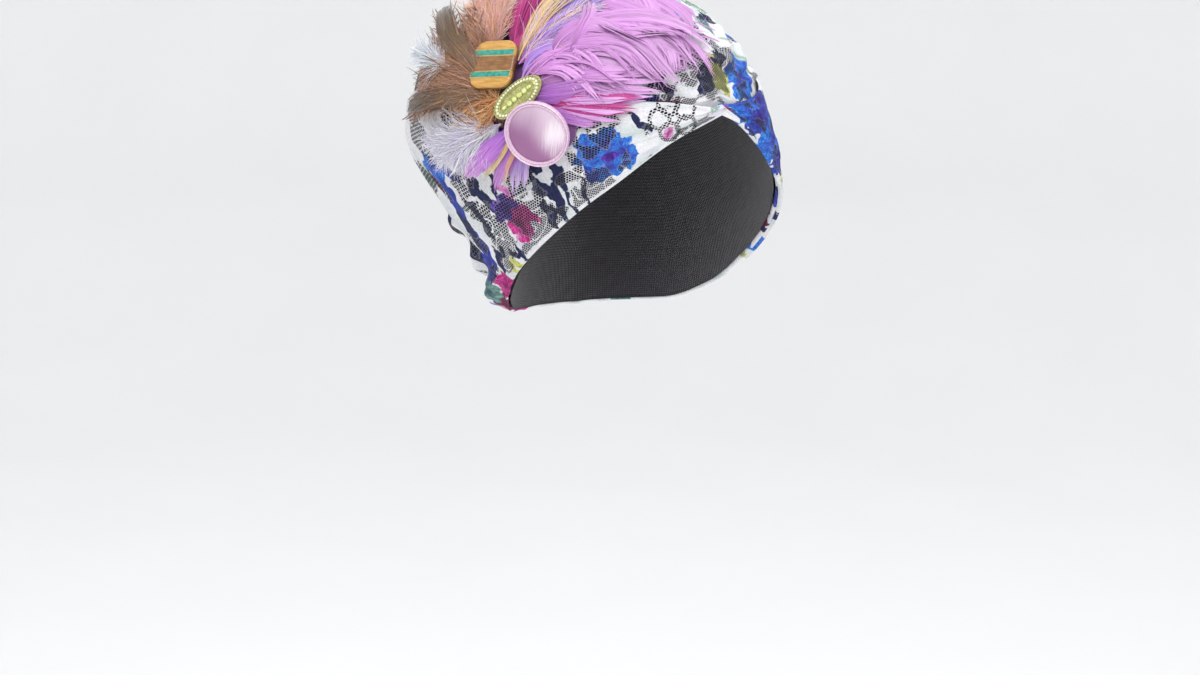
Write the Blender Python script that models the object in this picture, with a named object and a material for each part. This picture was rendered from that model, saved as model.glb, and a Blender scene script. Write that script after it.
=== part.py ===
"""A crossed-front turban beanie of stretch lace with a corsage of feathers and buttons, in metres, +Z up.

The wearer faces -Y and +X is the wearer's left. The origin is the middle of the head opening, at the height
where the band grips the head. Angles round the head start at the front and grow towards the wearer's left.
Levels run from 0 on the rim to 1 at the top of the crown.
"""

import math

import bmesh
import bpy
import numpy as np
from mathutils import Matrix, Vector

# Head opening, measured inside the lining
HEAD_WIDTH = 0.168
HEAD_DEPTH = 0.196
FRONT_RISE = 0.080
NAPE_DROP = 0.076

# Heights of the tops above the origin
CROWN_TOP = 0.152
LINING_TOP = 0.124

# Cloth walls and the gaps between layers
LINING_WALL = 0.0010
CROWN_WALL = 0.0016
WRAP_WALL = 0.0018
SEAM_GAP = 0.0008
WRAP_GAP = 0.0017
HEM_TURN = 0.0020
CROSSING_LIFT = 0.0030
CLEARANCE = 0.0003
PAD_GAP = 0.0006

# Folds of the cloth
SWAG_HEIGHT = 0.0062
GATHER_HEIGHT = 0.0022
GATHER_COUNT = 14
NAPE_GATHER_HEIGHT = 0.0016
NAPE_GATHER_COUNT = 24
DRAPE_HEIGHT = 0.0026

# Mesh fineness
CROWN_COLUMNS = 56
CROWN_ROWS = 17
LINING_COLUMNS = 30
LINING_ROWS = 6
WRAP_COLUMNS = 26
WRAP_ROWS = 11

# Corsage: its middle on the hat, its pad and its feathers
CORSAGE_ANGLE = -50.0
CORSAGE_LEVEL = 0.54
PAD_LENGTH = 0.078
PAD_WIDTH = 0.046
PAD_THICKNESS = 0.0020
PAD_TURN = -57.0
ROOT_WIDTH = 0.0064
ROOT_START = 0.0040
BLADE_WALL = 0.0012
BLADE_RIDGE = 0.0008

# Striped button
SQUARE_WIDTH = 0.030
SQUARE_HEIGHT = 0.0315
SQUARE_THICKNESS = 0.0046
SQUARE_CORNER = 0.0078
STRIPE_WIDTH = 0.0046
STRIPE_DEPTH = 0.0010
STRIPE_OFFSET = 0.0072

# Oval stone-set button
OVAL_LENGTH = 0.0385
OVAL_WIDTH = 0.0175
OVAL_THICKNESS = 0.0026
BAGUETTE_COUNT = 6
BAGUETTE_LENGTH = 0.0040
BAGUETTE_WIDTH = 0.0030
BAGUETTE_HEIGHT = 0.0016
BORDER_STONES = 24
BORDER_STONE_RADIUS = 0.0010
BORDER_STONE_HEIGHT = 0.0014

# Round button
ROUND_DIAMETER = 0.042
ROUND_THICKNESS = 0.0046
ROUND_RIM = 0.0026
DISC_RISE = 0.0030
SHANK_RADIUS = 0.0036

# Height of the rim round the head: angle from the front, height as a share of FRONT_RISE above the
# origin and of NAPE_DROP below it
RIM = (
    (0, 1.00),
    (10, 0.90),
    (25, 0.70),
    (40, 0.46),
    (55, 0.23),
    (75, -0.11),
    (95, -0.45),
    (115, -0.77),
    (138, -0.96),
    (180, -1.00),
)

# Sections from rim to top: level, share of the rim's height kept, height as a share of the top's,
# middle to the left and back, and reach to the left, right, front and back, as shares of half the
# section's width or depth on the rim
CROWN_SECTIONS = (
    (0.00, 1.00, 0.000, 0.00, 0.00, 1.00, 1.00, 1.00, 1.00),
    (0.15, 0.87, 0.092, 0.00, 0.08, 0.98, 1.10, 1.09, 1.11),
    (0.35, 0.64, 0.276, 0.00, 0.27, 0.94, 1.33, 1.28, 1.23),
    (0.55, 0.40, 0.500, 0.00, 0.41, 0.89, 1.57, 1.34, 1.24),
    (0.75, 0.18, 0.737, -0.03, 0.44, 0.79, 1.43, 1.10, 1.05),
    (0.90, 0.06, 0.921, -0.09, 0.41, 0.55, 0.88, 0.72, 0.66),
    (1.00, 0.00, 1.000, -0.14, 0.37, 0.00, 0.00, 0.00, 0.00),
)
LINING_SECTIONS = (
    (0.00, 1.00, 0.000, 0.00, 0.00, 1.00, 1.00, 1.00, 1.00),
    (0.20, 0.84, 0.140, 0.00, 0.01, 0.950, 0.950, 0.965, 0.985),
    (0.45, 0.58, 0.395, 0.00, 0.04, 0.890, 0.890, 0.900, 0.920),
    (0.70, 0.30, 0.700, 0.00, 0.08, 0.740, 0.740, 0.740, 0.750),
    (0.88, 0.10, 0.920, 0.00, 0.11, 0.480, 0.480, 0.470, 0.460),
    (1.00, 0.00, 1.000, 0.00, 0.12, 0.00, 0.00, 0.00, 0.00),
)

# Swags of the slouch: angle and level of the middle, spread in degrees and in levels, rise per degree
# and height as a share of SWAG_HEIGHT
SWAGS = (
    (-128, 0.075, 34, 0.060, 0.0010, 1.50),
    (-128, 0.19, 36, 0.050, 0.0009, 0.90),
    (-128, 0.30, 40, 0.048, 0.0008, 0.70),
    (-126, 0.41, 44, 0.055, 0.0006, 0.60),
    (-135, 0.60, 50, 0.070, 0.0004, 0.80),
    (175, 0.30, 40, 0.060, -0.0006, 0.90),
    (165, 0.52, 46, 0.070, -0.0004, 0.90),
    (118, 0.20, 34, 0.050, -0.0010, 0.70),
    (112, 0.42, 40, 0.060, -0.0008, 0.80),
    (60, 0.72, 36, 0.050, 0.0006, 0.60),
)

# Each crossed wrap runs from its tip past the notch to its back edge, which leans back with the level.
# Its upper edge: share of the way round, level
WRAP_TIP_ANGLE = 9.0
WRAP_END_ANGLE = 96.0
WRAP_END_LEAN = 49.0
WRAP_EDGE = (
    (0.00, 0.03),
    (0.07, 0.12),
    (0.16, 0.27),
    (0.30, 0.46),
    (0.48, 0.61),
    (0.66, 0.66),
    (0.82, 0.64),
    (0.92, 0.58),
    (0.97, 0.50),
    (1.00, 0.40),
)

# Drapes of a wrap: angle and level as shares of the wrap, spreads as shares, slope, height share
DRAPES = (
    (0.22, 0.55, 0.16, 0.16, 0.9, 1.00),
    (0.40, 0.30, 0.18, 0.12, 0.5, 0.70),
    (0.62, 0.70, 0.20, 0.14, -0.4, 0.80),
    (0.84, 0.45, 0.12, 0.20, -1.2, 0.90),
)

# Feather groups: name, colour, root right and up of the corsage's middle, height of the blades above
# the pad, then each blade's heading, half its spread in degrees, length, curl and rise of its tip
FEATHERS = {
    "lavender_feathers": ((0.84, 0.58, 0.88), 0.0090, 0.0060, 0.0012, (
        (-10, 8, 0.060, 0, 0.003),
        (6, 8, 0.082, -8, 0.004),
        (21, 7, 0.102, -18, 0.005),
        (34.5, 6.5, 0.114, -30, 0.006),
        (47, 6, 0.118, -40, 0.007),
        (58.5, 5.5, 0.118, -44, 0.008),
    )),
    "violet_feathers": ((0.55, 0.45, 0.85), 0.0030, 0.0190, 0.0026, (
        (62, 5, 0.104, -26, 0.010),
        (71, 4.5, 0.112, -20, 0.011),
    )),
    "magenta_feathers": ((0.75, 0.18, 0.50), -0.0035, 0.0270, 0.0012, (
        (80, 5, 0.096, -20, 0.011),
        (90, 5, 0.100, -12, 0.012),
    )),
    "peach_feathers": ((0.90, 0.64, 0.46), -0.0135, 0.0300, 0.0026, (
        (98, 5.5, 0.090, 0, 0.013),
        (109, 5.5, 0.086, 2, 0.014),
        (119, 5, 0.074, 4, 0.016),
    )),
    "brown_feathers": ((0.55, 0.36, 0.24), -0.0170, 0.0060, 0.0012, (
        (129, 6, 0.082, 8, 0.013),
        (143, 7, 0.072, 8, 0.012),
        (158, 7, 0.070, 10, 0.010),
        (173, 7, 0.074, 10, 0.008),
    )),
    "lilac_feathers": ((0.80, 0.76, 0.88), -0.0150, -0.0090, 0.0042, (
        (186, 8, 0.072, 4, 0.006),
        (202, 8, 0.074, 8, 0.006),
        (217, 7, 0.064, 10, 0.005),
    )),
    "lower_feathers": ((0.80, 0.50, 0.85), -0.0010, -0.0130, 0.0012, (
        (222, 7, 0.056, 4, 0.003),
        (236, 7, 0.054, 2, 0.003),
        (250, 6, 0.046, -4, 0.003),
        (262, 6, 0.038, -8, 0.002),
    )),
}
# Rings of a bunch from its root to its tips, as shares of a blade's length
BLADE_RINGS = (0.0, 0.10, 0.30, 0.52, 0.76, 1.0)
# Length of a blade across its spread, as a share, and how far down the slit between two blades starts
BLADE_TIP = ((-1.0, 0.62), (-0.5, 0.90), (0.0, 1.00), (0.5, 0.92), (1.0, 0.62))

# Buttons: right and up of the corsage's middle, turn in degrees, height of the back above the pad
SQUARE_PLACE = (-0.0122, 0.0180, -6.0, 0.0078)
OVAL_PLACE = (0.0010, 0.0012, 28.0, 0.0064)
ROUND_PLACE = (0.0085, -0.0170, 0.0, 0.0106)


def smooth_curve(places, values, at):
    """Monotone cubic through a column of a table, so that no section overshoots."""
    places = np.asarray(places, float)
    values = np.asarray(values, float)
    at = np.asarray(at, float)
    steps = np.diff(places)
    slopes = np.diff(values) / steps
    tangents = np.concatenate([slopes[:1], np.zeros(len(slopes) - 1), slopes[-1:]])
    for i in range(1, len(slopes)):
        if slopes[i - 1] * slopes[i] > 0:
            near = 2 * steps[i] + steps[i - 1]
            far = steps[i] + 2 * steps[i - 1]
            tangents[i] = (near + far) / (near / slopes[i - 1] + far / slopes[i])
    k = np.clip(np.searchsorted(places, at) - 1, 0, len(steps) - 1)
    s = (at - places[k]) / steps[k]
    return (
        values[k] * (1 + 2 * s) * (1 - s) ** 2
        + tangents[k] * steps[k] * s * (1 - s) ** 2
        + values[k + 1] * s * s * (3 - 2 * s)
        - tangents[k + 1] * steps[k] * s * s * (1 - s)
    )


def turned(degrees):
    """An angle brought to between -180 and 180 degrees."""
    return (degrees + 180.0) % 360.0 - 180.0


def bump(distance):
    """A smooth hump, 1 in the middle and 0 from a distance of 1."""
    return np.where(np.abs(distance) < 1, np.cos(np.clip(distance, -1, 1) * math.pi / 2) ** 2, 0.0)


def rim_height(angle):
    share = smooth_curve([row[0] for row in RIM], [row[1] for row in RIM], np.abs(turned(angle)))
    return np.where(share > 0, share * FRONT_RISE, share * NAPE_DROP)


def loft(sections, half_width, half_depth, top, angle, level):
    """Point of a lofted hood at an angle in degrees and a level."""
    column = list(zip(*sections))
    level = np.clip(level, 0.0, 1.0)

    def plain(index):
        return smooth_curve(column[0], column[index], level)

    def reach(index):
        return np.sqrt(np.maximum(smooth_curve(column[0], np.square(column[index]), level), 0))

    around = np.radians(angle)
    side, ahead = np.sin(around), np.cos(around)
    across = np.where(side > 0, reach(5), reach(6)) * side
    along = np.where(ahead > 0, reach(7), reach(8)) * ahead
    return np.stack(
        [
            half_width * (plain(3) + across),
            half_depth * (plain(4) - along),
            plain(1) * rim_height(angle) + plain(2) * top,
        ],
        axis=-1,
    )


def normals_of(surface, angle, level):
    """Outward normals of a surface, from small steps along its angle and level."""
    turn, rise = 0.5, 0.004
    low = np.clip(level - rise, 0.0, 1.0)
    high = np.clip(level + rise, 0.0, 0.995)
    round_step = surface(angle + turn, level) - surface(angle - turn, level)
    up_step = surface(angle, high) - surface(angle, low)
    normal = np.cross(round_step, up_step)
    return normal / np.maximum(np.linalg.norm(normal, axis=-1, keepdims=True), 1e-12)


def crown_form(angle, level):
    """The crown's outer surface without its folds."""
    edge = LINING_WALL + SEAM_GAP + CROWN_WALL
    return loft(
        CROWN_SECTIONS, HEAD_WIDTH / 2 + edge, HEAD_DEPTH / 2 + edge, CROWN_TOP, angle, level
    )


def wrap_reach(level):
    """Degrees from a wrap's tip to its back edge, at a level."""
    return WRAP_TIP_ANGLE + WRAP_END_ANGLE + WRAP_END_LEAN * level


def wrap_edge(share):
    """Level of a wrap's upper edge, a share of the way round it."""
    return smooth_curve([row[0] for row in WRAP_EDGE], [row[1] for row in WRAP_EDGE], np.clip(share, 0, 1))


def under_wraps(angle, level):
    """How fully the wraps cover a place: 1 well inside them, 0 past their edges."""
    share = (np.abs(turned(angle)) + WRAP_TIP_ANGLE) / wrap_reach(level)
    below = np.clip((wrap_edge(share) + 0.12 - level) / 0.05, 0, 1)
    return below * np.clip((1.12 - share) / 0.05, 0, 1)


def crown_folds(angle, level):
    """How far the crown's folds stand out: swags of the slouch, gathers at the top and at the nape.

    The crown lies smooth under the wraps.
    """
    stand = np.zeros(np.broadcast(angle, level).shape)
    for middle, at, spread, tall, rise, share in SWAGS:
        off = turned(angle - middle)
        stand = stand + SWAG_HEIGHT * share * bump(off / spread) * bump((level - at - rise * off) / tall)
    behind = bump(turned(angle - 180.0) / 150.0)
    top = bump((level - 0.80) / 0.18)
    stand = stand + GATHER_HEIGHT * top * behind * np.cos(np.radians(angle) * GATHER_COUNT)
    nape = bump(turned(angle - 180.0) / 62.0) * bump((level - 0.06) / 0.14)
    stand = stand + NAPE_GATHER_HEIGHT * nape * np.cos(np.radians(angle) * NAPE_GATHER_COUNT)
    return stand * (1 - under_wraps(angle, level))


def crown_surface(angle, level):
    """The crown's outer surface with its folds."""
    angle, level = np.broadcast_arrays(np.asarray(angle, float), np.asarray(level, float))
    stand = crown_folds(angle, level)[..., None]
    return crown_form(angle, level) + normals_of(crown_form, angle, level) * stand


def lining_surface(angle, level):
    """The lining's outer surface. Its rim stays a hem's turn above the crown's."""
    edge = LINING_WALL
    point = loft(
        LINING_SECTIONS, HEAD_WIDTH / 2 + edge, HEAD_DEPTH / 2 + edge, LINING_TOP, angle, level
    )
    point[..., 2] += HEM_TURN * (1 - np.clip(level, 0, 1))
    return point


def above_crown(angle, level, height):
    """Point a given height above the crown's folds."""
    return crown_surface(angle, level) + normals_of(crown_form, angle, level) * np.asarray(height)[..., None]


def crown_chart():
    """The crown's form and normals at every degree and hundredth of a level, for walks over the hat."""
    angle, level = np.meshgrid(np.arange(-180.0, 182.0), np.arange(0.0, 1.0, 0.01), indexing="ij")
    return crown_form(angle, level), normals_of(crown_form, angle, level)


CHART_POINTS, CHART_NORMALS = crown_chart()


def place_on_hat(angle, level, height):
    """One point above the crown's form, and its outward normal, as vectors."""
    x = (angle + 180.0) % 360.0
    y = min(max(level, 0.0), 0.98) * 100
    i, j = int(x), int(y)
    u, v = x - i, y - j

    def between(chart):
        low = chart[i, j] * (1 - u) + chart[i + 1, j] * u
        high = chart[i, j + 1] * (1 - u) + chart[i + 1, j + 1] * u
        return Vector(low * (1 - v) + high * v)

    normal = between(CHART_NORMALS).normalized()
    return between(CHART_POINTS) + normal * height, normal


def from_middle(right, up):
    """Angle and level of the place right and up of the corsage's middle."""
    across, along = tangents_at(CORSAGE_ANGLE, CORSAGE_LEVEL)
    away = math.hypot(right, up)
    if away == 0:
        return CORSAGE_ANGLE, CORSAGE_LEVEL
    direction = (across * right + along * up) / away
    angle, level, _ = slide(CORSAGE_ANGLE, CORSAGE_LEVEL, direction, away)
    return angle, level


def walk(start, heading, curl, stops):
    """Places along a path over the crown, as (angle, level, direction), at distances from its start.

    The heading is in degrees from the wearer's left towards the top, and the path curls evenly.
    """
    angle, level = start
    across, along = tangents_at(angle, level)
    turn = math.radians(heading)
    direction = across * math.cos(turn) + along * math.sin(turn)
    path, gone = [], 0.0
    for stop in stops:
        normal = place_on_hat(angle, level, 0)[1]
        bend = math.radians(curl) * (stop - gone) / stops[-1]
        direction = Matrix.Rotation(bend, 3, normal) @ direction
        angle, level, direction = slide(angle, level, direction, stop - gone)
        gone = stop
        path.append((angle, level, direction))
    return path


def tangents_at(angle, level):
    """Unit vectors over the crown towards the wearer's left and towards the top."""
    here, normal = place_on_hat(angle, level, 0)
    across = place_on_hat(angle + 0.5, level, 0)[0] - here
    across = (across - normal * across.dot(normal)).normalized()
    return across, normal.cross(across)


def slide(angle, level, direction, distance, parts=4):
    """Moves over the crown along a direction, which stays in the crown's surface."""
    turn, rise = 0.5, 0.004
    for _ in range(parts):
        here = place_on_hat(angle, level, 0)[0]
        per_turn = (place_on_hat(angle + turn, level, 0)[0] - here) / turn
        per_rise = (place_on_hat(angle, level + rise, 0)[0] - here) / rise
        step = direction * (distance / parts)
        a, b, c = per_turn.dot(per_turn), per_turn.dot(per_rise), per_rise.dot(per_rise)
        p, q = step.dot(per_turn), step.dot(per_rise)
        whole = a * c - b * b
        angle += (p * c - q * b) / whole
        level = min(max(level + (q * a - p * b) / whole, 0.0), 0.97)
        normal = place_on_hat(angle, level, 0)[1]
        direction = (direction - normal * direction.dot(normal)).normalized()
    return angle, level, direction


def material(name, colour, roughness, metallic=0.0):
    made = bpy.data.materials.new(name)
    made.use_nodes = True
    shader = made.node_tree.nodes["Principled BSDF"]
    shader.inputs["Base Color"].default_value = (*colour, 1.0)
    shader.inputs["Roughness"].default_value = roughness
    shader.inputs["Metallic"].default_value = metallic
    return made


def new_object(name, vertices, faces, finish, smooth=True):
    mesh = bpy.data.meshes.new(name)
    mesh.from_pydata([tuple(v) for v in vertices], [], faces)
    mesh.validate()
    if smooth:
        mesh.shade_smooth()
    mesh.materials.append(finish)
    made = bpy.data.objects.new(name, mesh)
    bpy.context.scene.collection.objects.link(made)
    return made


def solidify(made, wall):
    """Thickens a cloth surface inwards."""
    modifier = made.modifiers.new("Wall", "SOLIDIFY")
    modifier.thickness = wall
    modifier.offset = -1.0
    modifier.use_even_offset = True
    return made


def hood(name, surface, columns, rows, wall, finish):
    """A closed hood: rings of points from the rim up, and one point at the top."""
    angles = np.linspace(0.0, 360.0, columns, endpoint=False)
    vertices = []
    for row in range(rows):
        vertices += list(surface(angles, np.full(columns, (row / rows) ** 1.15)))
    vertices.append(surface(np.array([0.0]), np.array([1.0]))[0])
    faces = []
    for row in range(rows - 1):
        for i in range(columns):
            a, b = row * columns + i, row * columns + (i + 1) % columns
            faces.append((a, b, b + columns, a + columns))
    last = (rows - 1) * columns
    for i in range(columns):
        faces.append((last + i, last + (i + 1) % columns, len(vertices) - 1))
    return solidify(new_object(name, vertices, faces, finish), wall)


def loose_cloth(angles, levels):
    """How freely a wrap drapes: 0 where the corsage pins it flat, 1 away from it."""
    middle = crown_form(np.array([CORSAGE_ANGLE]), np.array([CORSAGE_LEVEL]))[0]
    away = np.linalg.norm(crown_form(angles, levels) - middle, axis=-1)
    near = np.clip(away / (PAD_LENGTH / 2) - 1.0, 0, 1)
    return near * near * (3 - 2 * near)


def wrap(name, side, finish, over):
    """A crossed wrap on one side of the head, 1 for the wearer's left and -1 for the right.

    Its tip lies past the notch. The wrap that lies over the other one is lifted near the notch.
    """
    shares = np.linspace(0.0, 1.0, WRAP_COLUMNS + 1)
    edge = wrap_edge(shares)
    vertices = []
    for row in range(WRAP_ROWS + 1):
        part = row / WRAP_ROWS
        levels = edge * part
        angles = side * (shares * wrap_reach(levels) - WRAP_TIP_ANGLE)
        height = np.full(len(shares), WRAP_GAP + WRAP_WALL)
        loose = loose_cloth(angles, levels)
        for middle, at, wide, tall, slope, share in DRAPES:
            off = shares - middle
            fold = bump(off / wide) * bump((part - at - slope * off) / (2 * tall))
            height += DRAPE_HEIGHT * share * fold * loose
        if over:
            near = np.clip((0.30 - shares) / 0.14, 0, 1)
            height += CROSSING_LIFT * near * near * (3 - 2 * near)
        points = above_crown(angles, levels, height)
        points[:, 2] -= HEM_TURN * (1 - part) ** 6
        vertices += list(points)
    columns = len(shares)
    faces = []
    for row in range(WRAP_ROWS):
        for i in range(columns - 1):
            a = row * columns + i
            quad = (a, a + 1, a + 1 + columns, a + columns)
            faces.append(quad if side > 0 else quad[::-1])
    return solidify(new_object(name, vertices, faces, finish), WRAP_WALL)


def pad_base():
    """Height of the pad's underside above the crown, on the right wrap."""
    return WRAP_GAP + WRAP_WALL + PAD_GAP


def pad_top():
    return pad_base() + PAD_THICKNESS


def on_pad(right, up, height):
    """Point right and up of the corsage's middle, at a height above the crown, with its normal."""
    return place_on_hat(*from_middle(right, up), height)


def corsage_pad(finish):
    """The felt oval that the feathers and buttons are sewn to. It follows the crown's curve."""
    rings, around = 3, 24
    turn = math.radians(PAD_TURN)
    vertices, faces = [], []
    for height in (pad_base(), pad_top()):
        vertices.append(on_pad(0.0, 0.0, height)[0])
        for ring in range(1, rings + 1):
            for i in range(around):
                a = 2 * math.pi * i / around
                x = PAD_LENGTH / 2 * ring / rings * math.cos(a)
                y = PAD_WIDTH / 2 * ring / rings * math.sin(a)
                right = x * math.cos(turn) - y * math.sin(turn)
                up = x * math.sin(turn) + y * math.cos(turn)
                vertices.append(on_pad(right, up, height)[0])
    layer = 1 + rings * around
    for side in (0, 1):
        start = side * layer
        for i in range(around):
            j = (i + 1) % around
            ring = start + 1
            tri = (start, ring + i, ring + j)
            faces.append(tri if side else tri[::-1])
            for _ in range(rings - 1):
                quad = (ring + i, ring + around + i, ring + around + j, ring + j)
                faces.append(quad if side else quad[::-1])
                ring += around
    outer = 1 + (rings - 1) * around
    for i in range(around):
        j = (i + 1) % around
        faces.append((outer + i, outer + j, layer + outer + j, layer + outer + i))
    return new_object("corsage_pad", vertices, faces, finish)


def fan_columns(blades):
    """Heading, length, curl, tip rise and ridge share of each column of a bunch, from blade to blade.

    A blade curls and rises alike across its spread, so a shorter column gets less of both.
    """
    columns = []
    for order, (heading, spread, length, curl, rise) in enumerate(blades):
        for place, share in BLADE_TIP:
            column = [heading + place * spread, length * share, curl * share, rise * share**2, 1.0 - abs(place)]
            if place == -1.0 and order > 0:
                before = columns.pop()
                column = [(a + b) / 2 for a, b in zip(before, column)]
            columns.append(column)
    return columns


def feather_bunch(name, colour, right, up, base, blades):
    """A bunch of feathers as one closed form: ridged blades with slits between their tips.

    Its bound quills start thick, just clear of the pad.
    """
    bunch = fan_columns(blades)
    middle = math.radians((bunch[0][0] + bunch[-1][0]) / 2)
    tops, bottoms = [], []
    for order, (heading, length, curl, rise, ridge) in enumerate(bunch):
        beside = ROOT_WIDTH * (order / (len(bunch) - 1) - 0.5)
        start = from_middle(right - math.sin(middle) * beside, up + math.cos(middle) * beside)
        stops = [ROOT_START + share * (length - ROOT_START) for share in BLADE_RINGS]
        for share, (angle, level, _) in zip(BLADE_RINGS, walk(start, heading, curl, stops)):
            under = base + rise * share**2
            top = under + BLADE_WALL * (1 - 0.4 * share) + BLADE_RIDGE * ridge
            if share == 0.0:
                under = CLEARANCE
            tops.append(place_on_hat(angle, level, pad_top() + top)[0])
            bottoms.append(place_on_hat(angle, level, pad_top() + under)[0])
    rows, layer = len(BLADE_RINGS), len(tops)
    columns = layer // rows
    faces = []
    for i in range(columns - 1):
        for j in range(rows - 1):
            a = i * rows + j
            faces.append((a, a + 1, a + 1 + rows, a + rows))
            faces.append((layer + a + rows, layer + a + 1 + rows, layer + a + 1, layer + a))
        root, tip = i * rows, i * rows + rows - 1
        faces.append((root, root + rows, layer + root + rows, layer + root))
        faces.append((tip + rows, tip, layer + tip, layer + tip + rows))
    last = (columns - 1) * rows
    for j in range(rows - 1):
        faces.append((j + 1, j, layer + j, layer + j + 1))
        faces.append((last + j, last + j + 1, layer + last + j + 1, layer + last + j))
    return new_object(name, tops + bottoms, faces, material(name, colour, 0.7), smooth=False)


def button_frame(place):
    """Matrix that seats a button on the pad: +X to the right, +Y up, +Z away from the hat."""
    right, up, turn, stand = place
    angle, level = from_middle(right, up)
    point, normal = place_on_hat(angle, level, pad_top() + stand)
    across, along = tangents_at(angle, level)
    axes = Matrix((across, along, normal)).transposed().to_4x4()
    return Matrix.Translation(point) @ axes @ Matrix.Rotation(math.radians(turn), 4, "Z")


def turned_solid(name, profile, segments, finish, frame):
    """A solid of revolution about its frame's Z. The profile is (radius, height) from the top's middle
    down the outside to the bottom's middle."""
    vertices, faces, rings = [], [], []
    for radius, height in profile:
        if radius == 0:
            rings.append([len(vertices)])
            vertices.append((0.0, 0.0, height))
            continue
        rings.append(list(range(len(vertices), len(vertices) + segments)))
        for i in range(segments):
            a = 2 * math.pi * i / segments
            vertices.append((radius * math.cos(a), radius * math.sin(a), height))
    for upper, lower in zip(rings, rings[1:]):
        for i in range(segments):
            j = (i + 1) % segments
            if len(upper) == 1:
                faces.append((upper[0], lower[i], lower[j]))
            elif len(lower) == 1:
                faces.append((upper[i], lower[0], upper[j]))
            else:
                faces.append((upper[i], lower[i], lower[j], upper[j]))
    made = new_object(name, vertices, faces, finish)
    made.data.set_sharp_from_angle(angle=math.radians(35))
    made.matrix_world = frame
    return made


def shank_profile(place, back):
    """Lower end of a button's profile: its post, which stands just clear of the pad."""
    foot = CLEARANCE - place[-1]
    return [(SHANK_RADIUS, back), (SHANK_RADIUS, foot), (0.0, foot)]


def round_button(frame_finish, disc_finish):
    """The round button: a rolled rim with a post, and a domed disc set in it."""
    frame = button_frame(ROUND_PLACE)
    outer = ROUND_DIAMETER / 2
    inner = outer - ROUND_RIM
    seat = ROUND_THICKNESS * 0.45
    top = ROUND_THICKNESS
    profile = [
        (0.0, seat),
        (inner, seat),
        (inner, top - 0.0008),
        (inner + ROUND_RIM * 0.3, top),
        (outer - ROUND_RIM * 0.3, top),
        (outer, top - 0.0010),
        (outer, 0.0012),
        (outer - 0.0016, 0.0),
    ]
    turned_solid("round_button_rim", profile + shank_profile(ROUND_PLACE, 0.0), 32, frame_finish, frame)
    reach = inner - CLEARANCE
    low = seat + CLEARANCE
    dome = [(0.0, low + DISC_RISE)]
    for share in (0.35, 0.65, 0.88, 1.0):
        dome.append((reach * share, low + 0.0006 + (DISC_RISE - 0.0006) * (1 - share**2)))
    dome += [(reach, low), (0.0, low)]
    turned_solid("round_button_disc", dome, 32, disc_finish, frame)


def rounded_outline(width, height, corner, steps=4):
    """Points of a rectangle with round corners, counter-clockwise."""
    points = []
    for cx, cy, start in ((1, 1, 0), (-1, 1, 90), (-1, -1, 180), (1, -1, 270)):
        for i in range(steps + 1):
            a = math.radians(start + 90 * i / steps)
            points.append(
                (cx * (width / 2 - corner) + corner * math.cos(a), cy * (height / 2 - corner) + corner * math.sin(a))
            )
    return points


def extruded(name, outline, low, high, finish, frame, hidden=False):
    """A plate between two heights of its frame."""
    count = len(outline)
    vertices = [(x, y, z) for z in (low, high) for x, y in outline]
    faces = [tuple(range(count))[::-1], tuple(range(count, 2 * count))]
    faces += [(i, (i + 1) % count, count + (i + 1) % count, count + i) for i in range(count)]
    made = new_object(name, vertices, faces, finish, smooth=False)
    made.matrix_world = frame
    if hidden:
        made.hide_render = True
        made.display_type = "WIRE"
    return made


def boolean(made, other, operation):
    modifier = made.modifiers.new(operation.title(), "BOOLEAN")
    modifier.operation = operation
    modifier.solver = "EXACT"
    modifier.object = other


def square_button(body_finish, stripe_finish):
    """The striped button: a rounded tile with two inlaid stripes and a post behind."""
    frame = button_frame(SQUARE_PLACE)
    outline = rounded_outline(SQUARE_WIDTH, SQUARE_HEIGHT, SQUARE_CORNER)
    tile = extruded("square_button", outline, 0.0, SQUARE_THICKNESS, body_finish, frame)
    bevel = tile.modifiers.new("Rounded edges", "BEVEL")
    bevel.width = 0.0009
    bevel.segments = 2
    bevel.limit_method = "ANGLE"
    bevel.angle_limit = math.radians(50)
    inside = SQUARE_THICKNESS / 2
    profile = [(0.0, inside)] + shank_profile(SQUARE_PLACE, inside)
    post = turned_solid("square_button_post", profile, 16, body_finish, frame)
    post.hide_render = True
    post.display_type = "WIRE"
    boolean(tile, post, "UNION")
    bottom = SQUARE_THICKNESS - STRIPE_DEPTH
    for name, side in (("upper_stripe", 1), ("lower_stripe", -1)):
        middle = side * STRIPE_OFFSET
        groove = [(x, middle + y) for x, y in rounded_outline(2 * SQUARE_WIDTH, STRIPE_WIDTH, 0.0002, 1)]
        cutter = extruded(name + "_groove", groove, bottom, 2 * SQUARE_THICKNESS, body_finish, frame, hidden=True)
        boolean(tile, cutter, "DIFFERENCE")
        reach = stripe_reach(middle + side * STRIPE_WIDTH / 2)
        inlay = [
            (x, middle + y)
            for x, y in rounded_outline(2 * reach - 0.0008, STRIPE_WIDTH - 2 * CLEARANCE, 0.0006, 2)
        ]
        extruded(name, inlay, bottom + CLEARANCE, SQUARE_THICKNESS + 0.0001, stripe_finish, frame)


def stripe_reach(height):
    """Half the tile's width at a height above its middle."""
    over = max(abs(height) - (SQUARE_HEIGHT / 2 - SQUARE_CORNER), 0.0)
    return SQUARE_WIDTH / 2 - SQUARE_CORNER + math.sqrt(max(SQUARE_CORNER**2 - over**2, 0.0))


def ellipse(length, width, count):
    return [
        (length / 2 * math.cos(2 * math.pi * i / count), width / 2 * math.sin(2 * math.pi * i / count))
        for i in range(count)
    ]


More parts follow.
